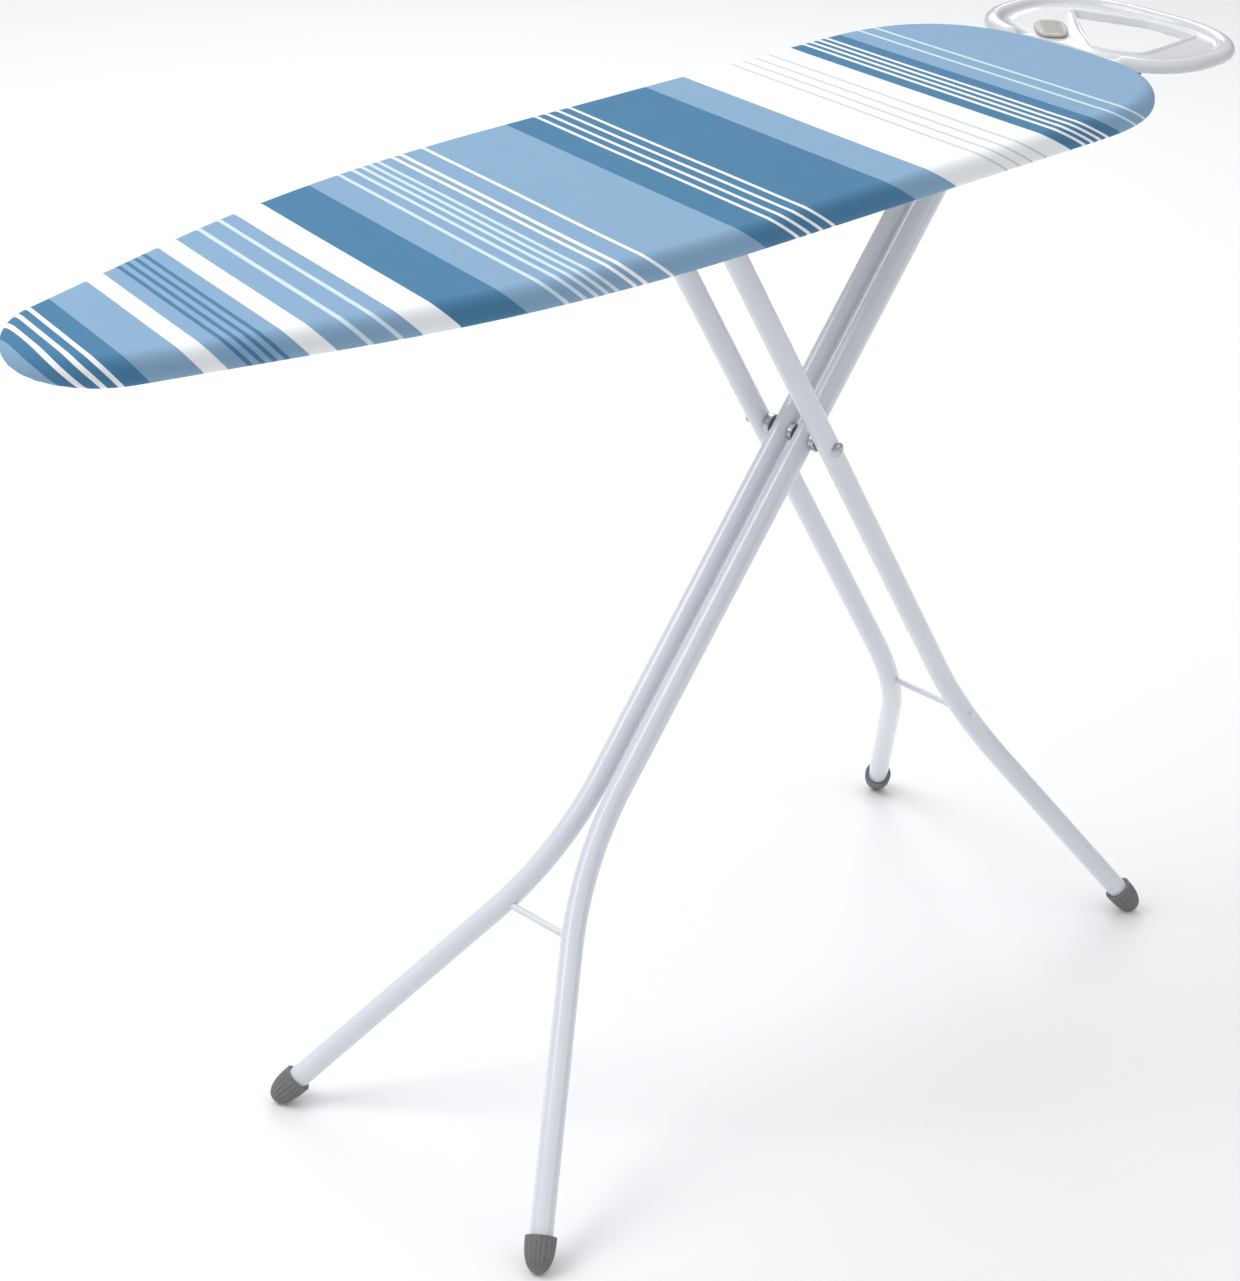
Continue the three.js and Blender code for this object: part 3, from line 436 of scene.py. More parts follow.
def striped(name):
    """The printed cotton: light blue ground, then dark bands, white bands, pale and grey lines."""
    look = Look(name, rgb(141, 174, 203), 0.9)
    look.preset(Specular_IOR_Level=0.18, Sheen_Weight=0.03, Sheen_Roughness=0.6)
    split = look.add("ShaderNodeSeparateXYZ", Vector=look.coords.outputs["UV"])
    along = split.outputs[0]

    def mask(spans):
        total = 0.0
        for low, high in spans:
            hit = look.math("COMPARE", along, (low + high) / 2000, (high - low) / 2000)
            total = hit if total == 0.0 else look.math("ADD", total, hit)
        return total

    fade = look.noise(38.0, 5.0, 0.6)
    ground = look.mix(fade, rgb(131, 165, 196), rgb(139, 172, 202))
    dark = look.mix(fade, rgb(70, 121, 158), rgb(77, 128, 165))
    made = look.mix(mask(DARK), ground, dark)
    made = look.mix(mask(WHITE), made, rgb(244, 246, 248))
    made = look.mix(mask(PALE), made, rgb(208, 226, 236))
    made = look.mix(mask(GREY), made, rgb(206, 211, 216))
    warp = look.add("ShaderNodeTexWave", {"bands_direction": "X"}, Vector=look.coords.outputs["UV"],
                    Scale=210.0, Distortion=0.6, Detail=1.0).outputs["Fac"]
    weft = look.add("ShaderNodeTexWave", {"bands_direction": "Y"}, Vector=look.coords.outputs["UV"],
                    Scale=190.0, Distortion=0.6, Detail=1.0).outputs["Fac"]
    weave = look.math("MULTIPLY", look.math("ADD", warp, weft), 0.5)
    # Painted shade: where the weave is low, in its hollows, the print is darkened by up to six per cent.
    shade = look.between(weave, 0.94, 1.0)
    weave_shaded_print = look.add("ShaderNodeMix", {"data_type": "RGBA", "blend_type": "MULTIPLY"},
                    in0=1.0, in6=made, in7=(1, 1, 1, 1))
    grey = look.add("ShaderNodeCombineColor", Red=shade, Green=shade, Blue=shade)
    look.tree.links.new(grey.outputs[0], weave_shaded_print.inputs[7])
    look.colour(weave_shaded_print.outputs[2])
    soft = look.math("ADD", weave, look.math("MULTIPLY", look.noise(26.0, 4.0), 1.4))
    look.bump(soft, 0.00028, 0.55)
    return look


cotton = striped("striped_cotton")

felt = Look("wool_felt", rgb(226, 221, 210), 0.95)
felt.mottled(felt.noise(90.0, 8.0, 0.75), (205, 199, 187), (238, 234, 225))
felt.bump(felt.noise(700.0, 6.0, 0.7), 0.0006, 0.8)

braid = Look("braided_cord", rgb(240, 240, 235), 0.8)
# Painted shade: the colour follows the strand wave that also makes the bump, so the grooves between strands
# are darker.
strand = braid.add("ShaderNodeTexWave", {"bands_direction": "DIAGONAL"},
                   Vector=braid.coords.outputs["UV"], Scale=1.2, Distortion=0.2).outputs["Fac"]
braid.mottled(strand, (205, 204, 198), (248, 248, 244))
braid.bump(strand, 0.0003, 0.8)
print("cotton print:", len(DARK) + len(WHITE) + len(PALE) + len(GREY), "bands and lines")

# %% [markdown]
# ## The outline of the board
# The outline is a drawing problem: a round nose, a straight taper, a curved shoulder, a long
# side and a tail that is part of a superellipse. Joining those runs and sampling the result
# evenly gives a loop of points whose normals can carry everything that follows the edge.

# %% Outline
LENGTH, HALF_WIDTH, NARROWING, NOSE = 1153.0, 157.0, 5.0, 66.0
SHOULDER = (200.0, 368.0, 560.0)
TAIL_DEPTH, TAIL_POWER = 168.0, 2.7


def half_outline():
    """Nose arc, straight taper, quadratic shoulder (1-t)^2 A + 2t(1-t) B + t^2 C, superellipse."""
    side = HALF_WIDTH - NARROWING
    reach = np.array([SHOULDER[1] - NOSE, side])
    taper = math.atan2(reach[1], reach[0]) - math.asin(NOSE / np.hypot(*reach))
    turn = np.pi - np.linspace(0, 1, 60) * (np.pi / 2 - taper)
    nose = np.stack([NOSE + NOSE * np.cos(turn), NOSE * np.sin(turn)], 1)
    a = np.array([SHOULDER[0], side - (SHOULDER[1] - SHOULDER[0]) * math.tan(taper)])
    b, c = np.array([SHOULDER[1], side]), np.array([SHOULDER[2], side + 0.4 * NARROWING])
    t = np.linspace(0, 1, 60)[:, None]
    shoulder = (1 - t) ** 2 * a + 2 * t * (1 - t) * b + t ** 2 * c
    turn = np.pi / 2 - np.linspace(0, 1, 160) * np.pi / 2
    tail = np.stack([LENGTH - TAIL_DEPTH + TAIL_DEPTH * np.abs(np.cos(turn)) ** (2 / TAIL_POWER),
                     HALF_WIDTH * np.abs(np.sin(turn)) ** (2 / TAIL_POWER)], 1)
    return np.concatenate([nose, shoulder, tail])


def run_length(run):
    """Distance along a run of points, from its first point to each of them."""
    return np.concatenate([[0], np.cumsum(np.linalg.norm(np.diff(run, axis=0), axis=1))])


def points_at(run, at):
    """The points that lie at the given distances along a run."""
    length = run_length(run)
    return np.stack([np.interp(at, length, column) for column in run.T], 1)


def even_loop(points, count):
    """Samples a closed run of points at equal steps of its own length."""
    loop = np.concatenate([points, points[:1]])
    return points_at(loop, np.arange(count) / count * run_length(loop)[-1])


def outward(loop):
    """Unit normals of an anticlockwise loop, eased over a few neighbours so corners stay soft."""
    along = np.roll(loop, -1, 0) - np.roll(loop, 1, 0)
    normal = np.stack([along[:, 1], -along[:, 0]], 1)
    for _ in range(6):
        normal = normal + 0.5 * (np.roll(normal, 1, 0) + np.roll(normal, -1, 0))
    return normal / np.linalg.norm(normal, axis=1, keepdims=True)


half = half_outline()
both = np.concatenate([half[::-1], (half * [1, -1])[1:-1]])
edge = even_loop(both, 420)
if np.sum(edge[:, 0] * np.roll(edge[:, 1], -1) - np.roll(edge[:, 0], -1) * edge[:, 1]) < 0:
    edge = edge[::-1]
normals = outward(edge)
CENTRE = np.array([600.0, 0.0])


def at_inset(distance, z):
    """The outline moved inwards by a distance along its own normals, at height z."""
    return np.column_stack([edge - normals * distance, np.full(len(edge), float(z))])


print("outline", len(edge), "points, width", round(float(np.ptp(edge[:, 1])), 1))

# %% [markdown]
# ## The cover
# A cover is one cloth: flat on the pad, rolled over the rim, tucked under and drawn in by its
# cord, which leaves small gathers where the outline turns. A cloth simulation could fold it, but
# the shape is known, so a section carried round the outline is quicker and always the same. The
# flat map remembers where each point lay on the cutting table, so the print bends with the cloth.

# %% Cover surface
TOP_Z, SKIRT, HEM = 859.0, 22.1, 34.0
DRAG = 0.75  # how far the near side of the print was dragged when the cloth was pulled round
EDGE_ROLL, TUCK = 12.5, 8.6


def skirt_section():
    """(inset, height, cloth length) down the side: a quarter roll, a drop, a quarter tuck and
    the hem. Lengths are arc lengths, so the flat map doesn't stretch."""
    a = np.linspace(0, np.pi / 2, 9)
    roll = np.stack([EDGE_ROLL * (1 - np.sin(a)), TOP_Z - EDGE_ROLL * (1 - np.cos(a))], 1)
    low = TOP_Z - SKIRT + TUCK
    drop = np.stack([np.zeros(2), np.linspace(TOP_Z - EDGE_ROLL, low, 4)[1:-1]], 1)
    tuck = np.stack([TUCK * (1 - np.cos(a)), low - TUCK * np.sin(a)], 1)
    hem = np.stack([np.linspace(TUCK, HEM, 12)[1:], np.full(11, TOP_Z - SKIRT)], 1)
    run = np.concatenate([roll, drop, tuck, hem])
    return run[:, 0], run[:, 1], run_length(run)


def print_map(points):
    """The cotton's map in metres: the print's slant along the board, and the place across. The
    first column comes again at the end, where the grid is joined."""
    x, y = points[..., 0], points[..., 1]
    flat_xy = np.stack([(x - 0.235 * y) / (1 - 0.00016 * y), y], -1) / 1000.0
    return np.concatenate([flat_xy, flat_xy[:, :1]], 1)


inset, height, cloth = skirt_section()
perimeter = run_length(edge)
turning = np.abs(np.cross(normals, np.roll(normals, -1, 0)))
turning = turning / turning.max()
for _ in range(12):
    turning = (np.roll(turning, 1) + turning + np.roll(turning, -1)) / 3
phase = perimeter / 15.5 * 2 * np.pi
phase = phase + 1.6 * np.sin(perimeter / 71.0) + 1.1 * np.sin(perimeter / 33.0 + 1.0)
pull = np.clip((cloth - 14.0) / (cloth[-1] - 14.0), 0, 1) ** 1.6
pleat = (0.35 + 1.25 * turning)[None] * np.sin(phase)[None] * pull[:, None]
slack = 0.22 * np.sin(perimeter / 47.0)[None] * np.sin(cloth / 9.0)[:, None]
side_out = -inset[:, None] - 0.9 * np.maximum(pleat, -0.6) * (inset < TUCK)[:, None] + slack * 0.5
side_z = height[:, None] + np.where((inset >= TUCK * 0.6)[:, None], np.abs(pleat) * 1.2, 0.0)
skirt_xy = edge[None] + normals[None] * np.minimum(side_out, 0.4)[..., None]
skirt_points = np.concatenate([skirt_xy, side_z[..., None]], 2)

ring_shares = np.sin(np.linspace(0, 1, 30) * np.pi / 2)[:-1]
inner_edge = edge - normals * EDGE_ROLL
top_xy = CENTRE + ring_shares[:, None, None] * (inner_edge - CENTRE)[None]
sag = 0.16 * np.sin(top_xy[..., 0] / 61.0 + 0.7) * np.sin(top_xy[..., 1] / 37.0 + 0.3)
flatter = 1 - ring_shares[:, None] ** 6
top_points = np.concatenate([top_xy, (TOP_Z - (0.16 - sag) * flatter)[..., None]], 2)
top_points[0] = [*CENTRE, TOP_Z]
cover_points = np.concatenate([top_points, skirt_points])

# The near side of the print leans as it goes down the skirt: drawn says where, slant how far.
flat_skirt = inner_edge[None] + normals[None] * cloth[:, None, None]
drawn = np.clip(-1.3 * normals[:, 1], 0, 1)[None, :, None] * DRAG
slant = np.stack([1.44 + 0.00133 * edge[:, 0], np.full(len(edge), 1.86)], 1)
pulled = (TOP_Z - height)[:, None, None] * slant[None]
swing = drawn * (edge[None] - normals[None] * inset[:, None, None] - pulled - flat_skirt)
hem_starts = int(np.argmin(np.abs(height - (TOP_Z - SKIRT + 2.0))))
swing[hem_starts:] = swing[hem_starts]
flat = np.concatenate([top_xy, flat_skirt + swing])

cover = sew("board_cover", cover_points, uv=print_map(flat), sharp=60.0)
wall = cover.modifiers.new("cloth_thickness", "SOLIDIFY")
wall.thickness, wall.offset = 0.0009, -1.0
dress(cover, "board", cotton.material, "cover", "cover")

# %% [markdown]
# ## The cord and its casing
# The hem ends in a narrow casing that the cord runs through. At the tail the casing stops short
# and the cord's two ends come out. Both follow the same loop, so both are sweeps round it.

# %% Hem casing and cord
def open_loop(distance, z, gap):
    """The inset outline as an open run that starts and ends beside the tail."""
    ring = at_inset(distance, z)
    start = int(np.argmax(ring[:, 0]))
    ring = np.roll(ring, -start, 0)
    ring = np.concatenate([ring, ring[:1]])
    at = np.linspace(gap / 2, run_length(ring)[-1] - gap / 2, 700)
    return points_at(ring, at), at


CORD_INSET, CORD_Z = 36.4, TOP_Z - SKIRT + 0.6
casing_path, casing_at = open_loop(CORD_INSET, CORD_Z, 46.0)
ripple = 1 + 0.10 * np.sin(casing_at / 7.3 * 2 * np.pi) + 0.05 * np.sin(casing_at / 2.9)
casing_grid = sweep(casing_path, circle(2.45, 14), (0, 0, 1))
middle = ends_twice(casing_path)
casing_grid = middle[:, None] + (casing_grid - middle[:, None]) * np.concatenate(
    [[1, 1], ripple, [1, 1]])[:, None, None]
casing = sew("hem_casing", casing_grid, uv=print_map(casing_grid))
dress(casing, "board", cotton.material, "cover")

cord_path, cord_at = open_loop(CORD_INSET, CORD_Z, 10.0)
cord_grid = sweep(cord_path, circle(1.5, 12), (0, 0, 1), chamfer=0.4)
rows = np.concatenate([[cord_at[0]] * 2, cord_at, [cord_at[-1]] * 2])
cord_uv = np.stack(np.meshgrid(rows / 9.5, np.arange(13) / 12, indexing="ij"), -1)
cord = sew("draw_line", cord_grid, uv=cord_uv)
dress(cord, "board", braid.material, "cord", "drawcord")
print("cord runs", round(float(cord_at[-1] - cord_at[0])), "mm")

# %% [markdown]
# ## Felt pad and mesh platform
# Under the cloth lies a felt pad with a soft rolled edge, and under that a platform of expanded
# steel. Expanded steel is one diamond repeated: four flat strands round a hole. Placing the
# diamond's corners with array arithmetic makes thousands of strands without a loop.

# %% Pad
def shrunk(loop, share):
    """A loop drawn in towards the middle of the board, keeping its height."""
    out = loop.copy()
    out[:, :2] = CENTRE + share * (loop[:, :2] - CENTRE)
    return out


PAD_LOW, PAD_HIGH = 853.5, 857.4
bulge = np.linspace(-np.pi / 2, np.pi / 2, 9)
pad_middle = (PAD_LOW + PAD_HIGH) / 2
pad_edge = [at_inset(9.5 + 2.0 * (1 - np.cos(a)), pad_middle + 1.95 * np.sin(a)) for a in bulge]
shares = np.array([0.0, 0.3, 0.6, 0.85, 0.97])
under = [shrunk(pad_edge[0], s) for s in shares]
over = []
for s in shares[::-1]:
    ring = shrunk(pad_edge[-1], s)
    ring[:, 2] += 0.05 * (1 - s)
    over.append(ring)
pad = sew("felt_pad", np.stack(under + pad_edge + over))
dress(pad, "board", felt.material, "foam", "pad")
print("pad", len(pad.data.polygons), "faces")

# %% Platform of expanded steel
PITCH_X, PITCH_Y, STRAND = 24.0, 11.0, 1.5


def inside(points, loop):
    """True for points inside a convex anticlockwise loop: left of every side."""
    a, b = loop, np.roll(loop, -1, 0)
    side = b - a
    rel = points[:, None] - a[None]
    return np.all(side[None, :, 0] * rel[..., 1] - side[None, :, 1] * rel[..., 0] > 0, axis=1)


def expanded_steel(name, low, thick):
    """Diamonds at (i, j) and (i + 1/2, j + 1/2). Each has an outer and an inner rhombus, joined
    by four quads; its strands twist slightly, so the inner corners sit a little higher."""
    i, j = np.meshgrid(np.arange(0, 50), np.arange(-15, 16), indexing="ij")
    centres = np.concatenate([
        np.stack([i.ravel() * PITCH_X, j.ravel() * PITCH_Y], 1),
        np.stack([(i.ravel() + 0.5) * PITCH_X, (j.ravel() + 0.5) * PITCH_Y], 1)]).astype(float)
    loop = (edge - normals * 9.0)[::6]
    corners = np.array([(1, 0), (0, 1), (-1, 0), (0, -1)], float)
    outer = corners * [PITCH_X / 2, PITCH_Y / 2]
    hole = corners * [PITCH_X / 2 - STRAND * 1.9, PITCH_Y / 2 - STRAND * 0.8]
    keep = np.all([inside(centres + c, loop) for c in outer], axis=0)
    centres = centres[keep]
    flat_z = np.full((len(centres), 4, 1), low)
    ring = np.concatenate([centres[:, None] + outer[None], flat_z], 2)
    core = np.concatenate([centres[:, None] + hole[None], flat_z + 0.35], 2)
    points = np.stack([ring, core], 1).reshape(-1, 3)
    base = np.arange(len(centres))[:, None] * 8
    k = np.arange(4)
    quads = np.stack([base + k, base + (k + 1) % 4, base + 4 + (k + 1) % 4, base + 4 + k], -1)
    mesh = bpy.data.meshes.new(name)
    mesh.from_pydata(to_row(points).tolist(), [], quads.reshape(-1, 4).tolist())
    finish_mesh(mesh, 30.0, turn_out=False)
    piece = add_object(name, mesh)
    wall = piece.modifiers.new("sheet", "SOLIDIFY")
    wall.thickness, wall.offset = thick / 1000, 1.0
    return piece, len(centres)


platform, diamonds = expanded_steel("platform_mesh", 851.9, 0.9)
dress(platform, "board", enamel.material, "enamel", "platform_sheet")
border_rings = [at_inset(i, z) for i, z in ((4.6, 851.65), (18.0, 851.65), (18.0, 853.1), (4.6, 853.1))]
border = sew("platform_border", np.stack(border_rings), wrap=(True, True))
dress(border, "board", enamel.material, "enamel")
print("platform", diamonds, "diamonds")

# %% [markdown]
# ## The rim and the leg tubes
# One tube runs round under the platform. Each leg is one straight tube bent outwards near the
# foot. A leg is easiest to draw in its own frame, hanging straight down from the cross rod, and
# then leaned to the angle of the open stand, so the same function makes all four.

# %% Rim tube
rim_path, _ = open_loop(8.8, 845.3, 0.4)
rim = sew("rim_ring", sweep(rim_path[::2], circle(6.0, 20), (0, 0, 1), chamfer=0.6))
dress(rim, "board", enamel.material, "enamel", "rim_tube")
print("rim", len(rim.data.polygons), "faces")

# %% Leg frames
PIVOT = np.array([803.956, 0.0, 574.499])
DROP, BEND_AT, BEND_RADIUS, TUBE = 52.1689, 342.0, 330.0, 20.0
CAP_RADIUS, CAP_LENGTH = 13.5, 31.0
INNER_HALF, OUTER_HALF = 12.5, 39.2
INNER_ANGLE, OUTER_ANGLE = math.radians(51.4), math.radians(55.9)
LEG_TOP = (TOP_Z - DROP - PIVOT[2]) / math.sin(OUTER_ANGLE)


def leaned(points, lean, place=PIVOT):
    """Turns points about y by an angle and moves them to a place, mostly the cross rod:
    (x cos + z sin, y, z cos - x sin) + place."""
    x, y, z = points[..., 0], points[..., 1], points[..., 2]
    return np.stack([x * math.cos(lean) + z * math.sin(lean), y,
                     z * math.cos(lean) - x * math.sin(lean)], -1) + place


class LegLine:
    """A leg in its own frame: straight, then an arc of BEND_RADIUS, then straight to the foot."""

    def __init__(self, half_spacing, foot_half, angle, side):
        self.half_spacing, self.side, self.foot_half = half_spacing, side, foot_half
        self.foot_down = (PIVOT[2] - (CAP_RADIUS - 1.2)) / math.sin(angle)
        dy = foot_half - half_spacing - BEND_RADIUS
        dz = BEND_AT - self.foot_down
        reach = math.hypot(dy, dz)
        self.splay = math.atan2(dz, dy) + math.acos(-BEND_RADIUS / reach)
        self.straight = LEG_TOP + BEND_AT
        self.total = self.straight + BEND_RADIUS * self.splay + math.sqrt(reach ** 2 - BEND_RADIUS ** 2)

    def at(self, length):
        """Points at distances along the tube from its top."""
        bent = np.clip((length - self.straight) / BEND_RADIUS, 0, self.splay)
        beyond = np.maximum(0, length - self.straight - BEND_RADIUS * self.splay)
        y = self.half_spacing + BEND_RADIUS * (1 - np.cos(bent)) + beyond * np.sin(bent)
        z = LEG_TOP - np.minimum(length, self.straight) - BEND_RADIUS * np.sin(bent) \
            - beyond * np.cos(bent)
        return np.stack([np.zeros_like(y), self.side * y, z], -1)

    def half_at(self, down):
        """How far out the tube is at a distance below the cross rod."""
        line = self.at(np.linspace(0, self.total, 900))
        return float(np.interp(down, -line[:, 2], np.abs(line[:, 1])))


def foot_shape():
    """(radius, along) of a foot: a blind bore, a sharp rim and a body that narrows to a blunt
    nose like r = R (1 - s^2.6)^(1/2.2)."""
    s = np.sin(np.linspace(0, 1, 26) * np.pi / 2)
    rim_at, tip = CAP_LENGTH - CAP_RADIUS, -CAP_RADIUS
    body = [(CAP_RADIUS * max(1 - v ** 2.6, 0) ** (1 / 2.2), rim_at - 1.2 - v * (rim_at - 1.2 - tip))
            for v in s]
    return [(0, 2), (10.3, 2), (10.3, rim_at - 0.4), (10.9, rim_at), (12.9, rim_at),
            (13.6, rim_at - 0.5)] + body


def foot_ribs(along, angle):
    """Lengthwise flutes: a rounded wave round the foot that fades at the rim and the nose."""
    outer = (np.arange(len(FOOT)) >= 7)[:, None]
    fade = np.clip((along + CAP_RADIUS) / 7.0, 0, 1) * np.clip((17.0 - along) / 1.2, 0, 1)
    return -0.95 * outer * fade * np.abs(np.sin(9 * angle)) ** 5


FOOT = foot_shape()


def leg_frame(label, body, angle, lean, half_spacing, foot_half, brace_down, brace_spare):
    """Two tubes, two feet and a brace rod, leaned into place."""
    for hand, side in HANDS:
        line = LegLine(half_spacing, foot_half, angle, side)
        path = line.at(np.linspace(7.0, line.total - 2.3, 150))
        straight_down = sweep(path, circle(TUBE / 2, 32), (1, 0, 0))
        tube = sew(f"{label}_leg_bent_{hand}", leaned(straight_down, lean))
        dress(tube, body, enamel.material, "enamel", f"{label}_leg_tube_{hand}")
        axis = (0, -math.sin(side * line.splay), math.cos(line.splay))
        foot = lathe(FOOT, (0, side * foot_half, -line.foot_down), axis, 108, foot_ribs)
        foot = leaned(foot, lean)
        foot[..., 2] = np.maximum(foot[..., 2], 0.0)
        cap = sew(f"{label}_foot_ribbed_{hand}", foot, sharp=50.0)
        dress(cap, body, foot_grey.material, "foot_cap", f"{label}_foot_cap_{hand}")
    reach = line.half_at(brace_down) + brace_spare
    ends = lathe(rod_profile(3.0, -reach, reach, 0.8), (0, 0, -brace_down), (0, 1, 0), 24)
    brace = sew(f"{label}_brace_bar", leaned(ends, lean))
    dress(brace, body, enamel.material, "enamel", f"{label}_brace_rod")
    print(label, "splay", round(math.degrees(line.splay), 1), "degrees, tube", round(line.total), "mm")


INNER_LEAN, OUTER_LEAN = math.pi / 2 - INNER_ANGLE, OUTER_ANGLE - math.pi / 2
leg_frame("inner", "inner_leg", INNER_ANGLE, INNER_LEAN, INNER_HALF, 161.0, 478.0, 0.0)
leg_frame("outer", "outer_leg", OUTER_ANGLE, OUTER_LEAN, OUTER_HALF, 163.0, 410.0, 13.0)

# %% [markdown]
# ## Rods, spacers and rivets
# Everything the stand turns on is a turned part. A rivet head is a low dome with a flat land
# and a small dimple where the setting tool struck it.

# %% Turned parts of the stand
def rivet_profile(radius, height):
    """A shouldered dome: r cos a, h sin a, with a shallow dimple in the middle."""
    a = np.linspace(0, 1, 12) * np.pi / 2 * 0.86
    dome = [(radius * math.cos(v), 0.7 + (height - 0.7) * math.sin(v)) for v in a]
    dimple = [(radius * 0.14, height * 0.9), (0, height * 0.86)]
    return [(0, 0), (radius - 0.5, 0), (radius, 0.4)] + dome + dimple


def turned(name, profile, body, look, slot, node, where=None, origin=(0, 0, 0), axis=(0, 1, 0)):
    """Spins a profile round an axis along y, leans it with a leg frame if asked, and dresses it."""
    grid = lathe(profile, origin, axis, 48)
    closed = profile[0][0] > 0
    piece = sew(name, leaned(grid, where) if where is not None else grid, wrap=(closed, True))
    return dress(piece, body, look.material, slot, *([node] if node else []))


ROD_HALF = OUTER_HALF + TUBE / 2
turned("hinge_sleeve", ring_profile(10, 4.3, -38, 38, 0.8), "inner_leg", enamel, "enamel",
       "inner_hinge_tube", INNER_LEAN, (0, 0, LEG_TOP))
turned("cross_pin", rod_profile(4, -ROD_HALF, ROD_HALF), "inner_leg", zinc, "zinc", "cross_rod", INNER_LEAN)
turned("middle_spacer", ring_profile(8, 4.3, -2.2, 2.2, 0.3), "inner_leg", zinc, "zinc",
       "centre_spacer", INNER_LEAN)
for hand, side in HANDS:
    turned(f"spacer_{hand}", ring_profile(9, 4.3, 22.8, 28.9, 0.6), "inner_leg", zinc, "zinc",
           f"side_spacer_{hand}", INNER_LEAN, axis=(0, side, 0))
    turned(f"pivot_rivet_{hand}", rivet_profile(6.5, 4.0), "inner_leg", zinc, "zinc",
           f"rod_head_{hand}", INNER_LEAN, (0, side * (ROD_HALF + 0.3), 0), (0, side, 0))

BAR, THIN = 54.0, 65.0
crossbar_profile = [(0, -THIN), (3.4, -THIN), (4, -THIN + 0.6), (4, -BAR), (9.2, -BAR), (10, -BAR + 0.8),
                    (10, BAR - 0.8), (9.2, BAR), (4, BAR), (4, THIN - 0.6), (3.4, THIN), (0, THIN)]
turned("sliding_crossbar", crossbar_profile, "outer_leg", enamel, "enamel", "crossbar",
       OUTER_LEAN, (0, 0, LEG_TOP))
HINGE = PIVOT + LEG_TOP * np.array([math.cos(INNER_ANGLE), 0, math.sin(INNER_ANGLE)])
for hand, side in HANDS:
    turned(f"hinge_rivet_{hand}", rivet_profile(6.0, 3.0), "board", zinc, "zinc",
           f"hinge_pin_head_{hand}", None, HINGE + [0, side * 41.6, 0], (0, side, 0))
print("hinge", np.round(HINGE, 1), "leg top", round(LEG_TOP, 1))

# %% [markdown]
# ## Weld beads
# Where a tube meets a sleeve there is a bead of weld under the enamel. It is a ring whose
# thickness ripples, as the welder's puddle froze drop by drop.

# %% Weld beads
def bead(name, body, lean, centre, axis, radius, thick):
    """A torus round axis: radius + thick * (cos b, sin b), with thick rippling along the ring."""
    a, b = around(72), around(10)
    size = thick * (1 + 0.16 * np.sin(11 * a) + 0.08 * np.sin(23 * a + 1))[:, None]
    axis = np.asarray(axis, float)
    e1 = np.array([1.0, 0, 0])
    e2 = np.cross(axis, e1)
    ring = np.cos(a)[:, None] * e1 + np.sin(a)[:, None] * e2
    points = np.asarray(centre) + (radius + size * np.cos(b))[..., None] * ring[:, None] \
        + (size * np.sin(b))[..., None] * axis
    piece = sew(name, leaned(points, lean), wrap=(True, True))
    return dress(piece, body, enamel.material, "enamel")


for hand, side in HANDS:
    for label, lean, out in (("inner", INNER_LEAN, INNER_HALF), ("outer", OUTER_LEAN, OUTER_HALF)):
        bead(f"{label}_weld_{hand}", f"{label}_leg", lean, (0, side * out, LEG_TOP - 11.0),
             (0, 0, 1), 9.4, 1.5)

# %% [markdown]
# ## The lever, its grip and its spring
# The height lever is a bent wire with a ribbed grip. It turns on the crossbar with a torsion
# spring. All three are drawn beside the crossbar and then tipped with the rails' slope.

# %% Lever
chord = HINGE - (PIVOT + LEG_TOP * np.array([-math.cos(OUTER_ANGLE), 0, math.sin(OUTER_ANGLE)]))
SLOPE = math.atan2(-chord[2], chord[0])
CROSSBAR = HINGE - chord


def tipped(points):
    """Turns points about y by the rails' slope and moves them to the crossbar."""
    return leaned(points, SLOPE, CROSSBAR)


def eased(corners, count, passes):
    """A run of straight lines sampled evenly and then averaged with its neighbours, which
    rounds every corner alike; the two ends stay."""
    corners = np.asarray(corners, float)
    run = points_at(corners, np.linspace(0, run_length(corners)[-1], count))
    for _ in range(passes):
        run[1:-1] = (run[:-2] + 2 * run[1:-1] + run[2:]) / 4
    return run


RAIL_EDGE = 54.3 + 12 + 0.3 + 1.5
GRIP_FROM = RAIL_EDGE + 30
wire = eased([(-28, 5.3, -3), (-28, 19, -4), (-28, 38.3, -16), (-28, 54.3, -20), (-28, RAIL_EDGE + 3, -20),
              (-28, RAIL_EDGE + 16, -8), (-28, GRIP_FROM - 2, -1), (-28, GRIP_FROM + 4, 0),
              (-28, GRIP_FROM + 29, 0)], 110, 10)
lever = sew("lever_wire", tipped(sweep(wire, circle(3.0, 18), (1, 0, 0), chamfer=0.5)))
dress(lever, "lever", zinc.material, "zinc", "release_lever")
s = np.linspace(0, 1, 60)
grip_r = 7.4 - 1.0 * s ** 3 - 0.55 * (0.5 + 0.5 * np.cos(2 * np.pi * s * 7)) * (s > 0.08) * (s < 0.86)
grip_r = np.where(s > 0.93, grip_r * np.sqrt(np.clip(1 - ((s - 0.93) / 0.07) ** 2, 0, 1)), grip_r)
grip_profile = [(0, 30), (3.3, 30), (3.3, 0.4), (3.9, 0)] + list(zip(grip_r, 34 * s))
grip_profile[-1] = (0, 34)
grip_grid = lathe(grip_profile, (-28, GRIP_FROM + 2, 0), (0, 1, 0), 40)
grip = sew("lever_handle", tipped(grip_grid), sharp=55.0)
dress(grip, "lever", nylon.material, "nylon", "lever_grip")

turn = np.linspace(0, 4 * 2 * np.pi, 220)
radial = np.stack([np.cos(turn), np.zeros_like(turn), np.sin(turn)], 1)
coil = radial * 12.0 + np.stack([turn * 0, -6.1 - turn / turn[-1] * 12.8, turn * 0], 1)
spring = sew("lever_coil", tipped(sweep(coil, circle(0.8, 10), radial)))
dress(spring, "lever", zinc.material, "zinc", "lever_spring")
print("lever wire", round(float(np.linalg.norm(np.diff(wire, axis=0), axis=1).sum())), "mm")

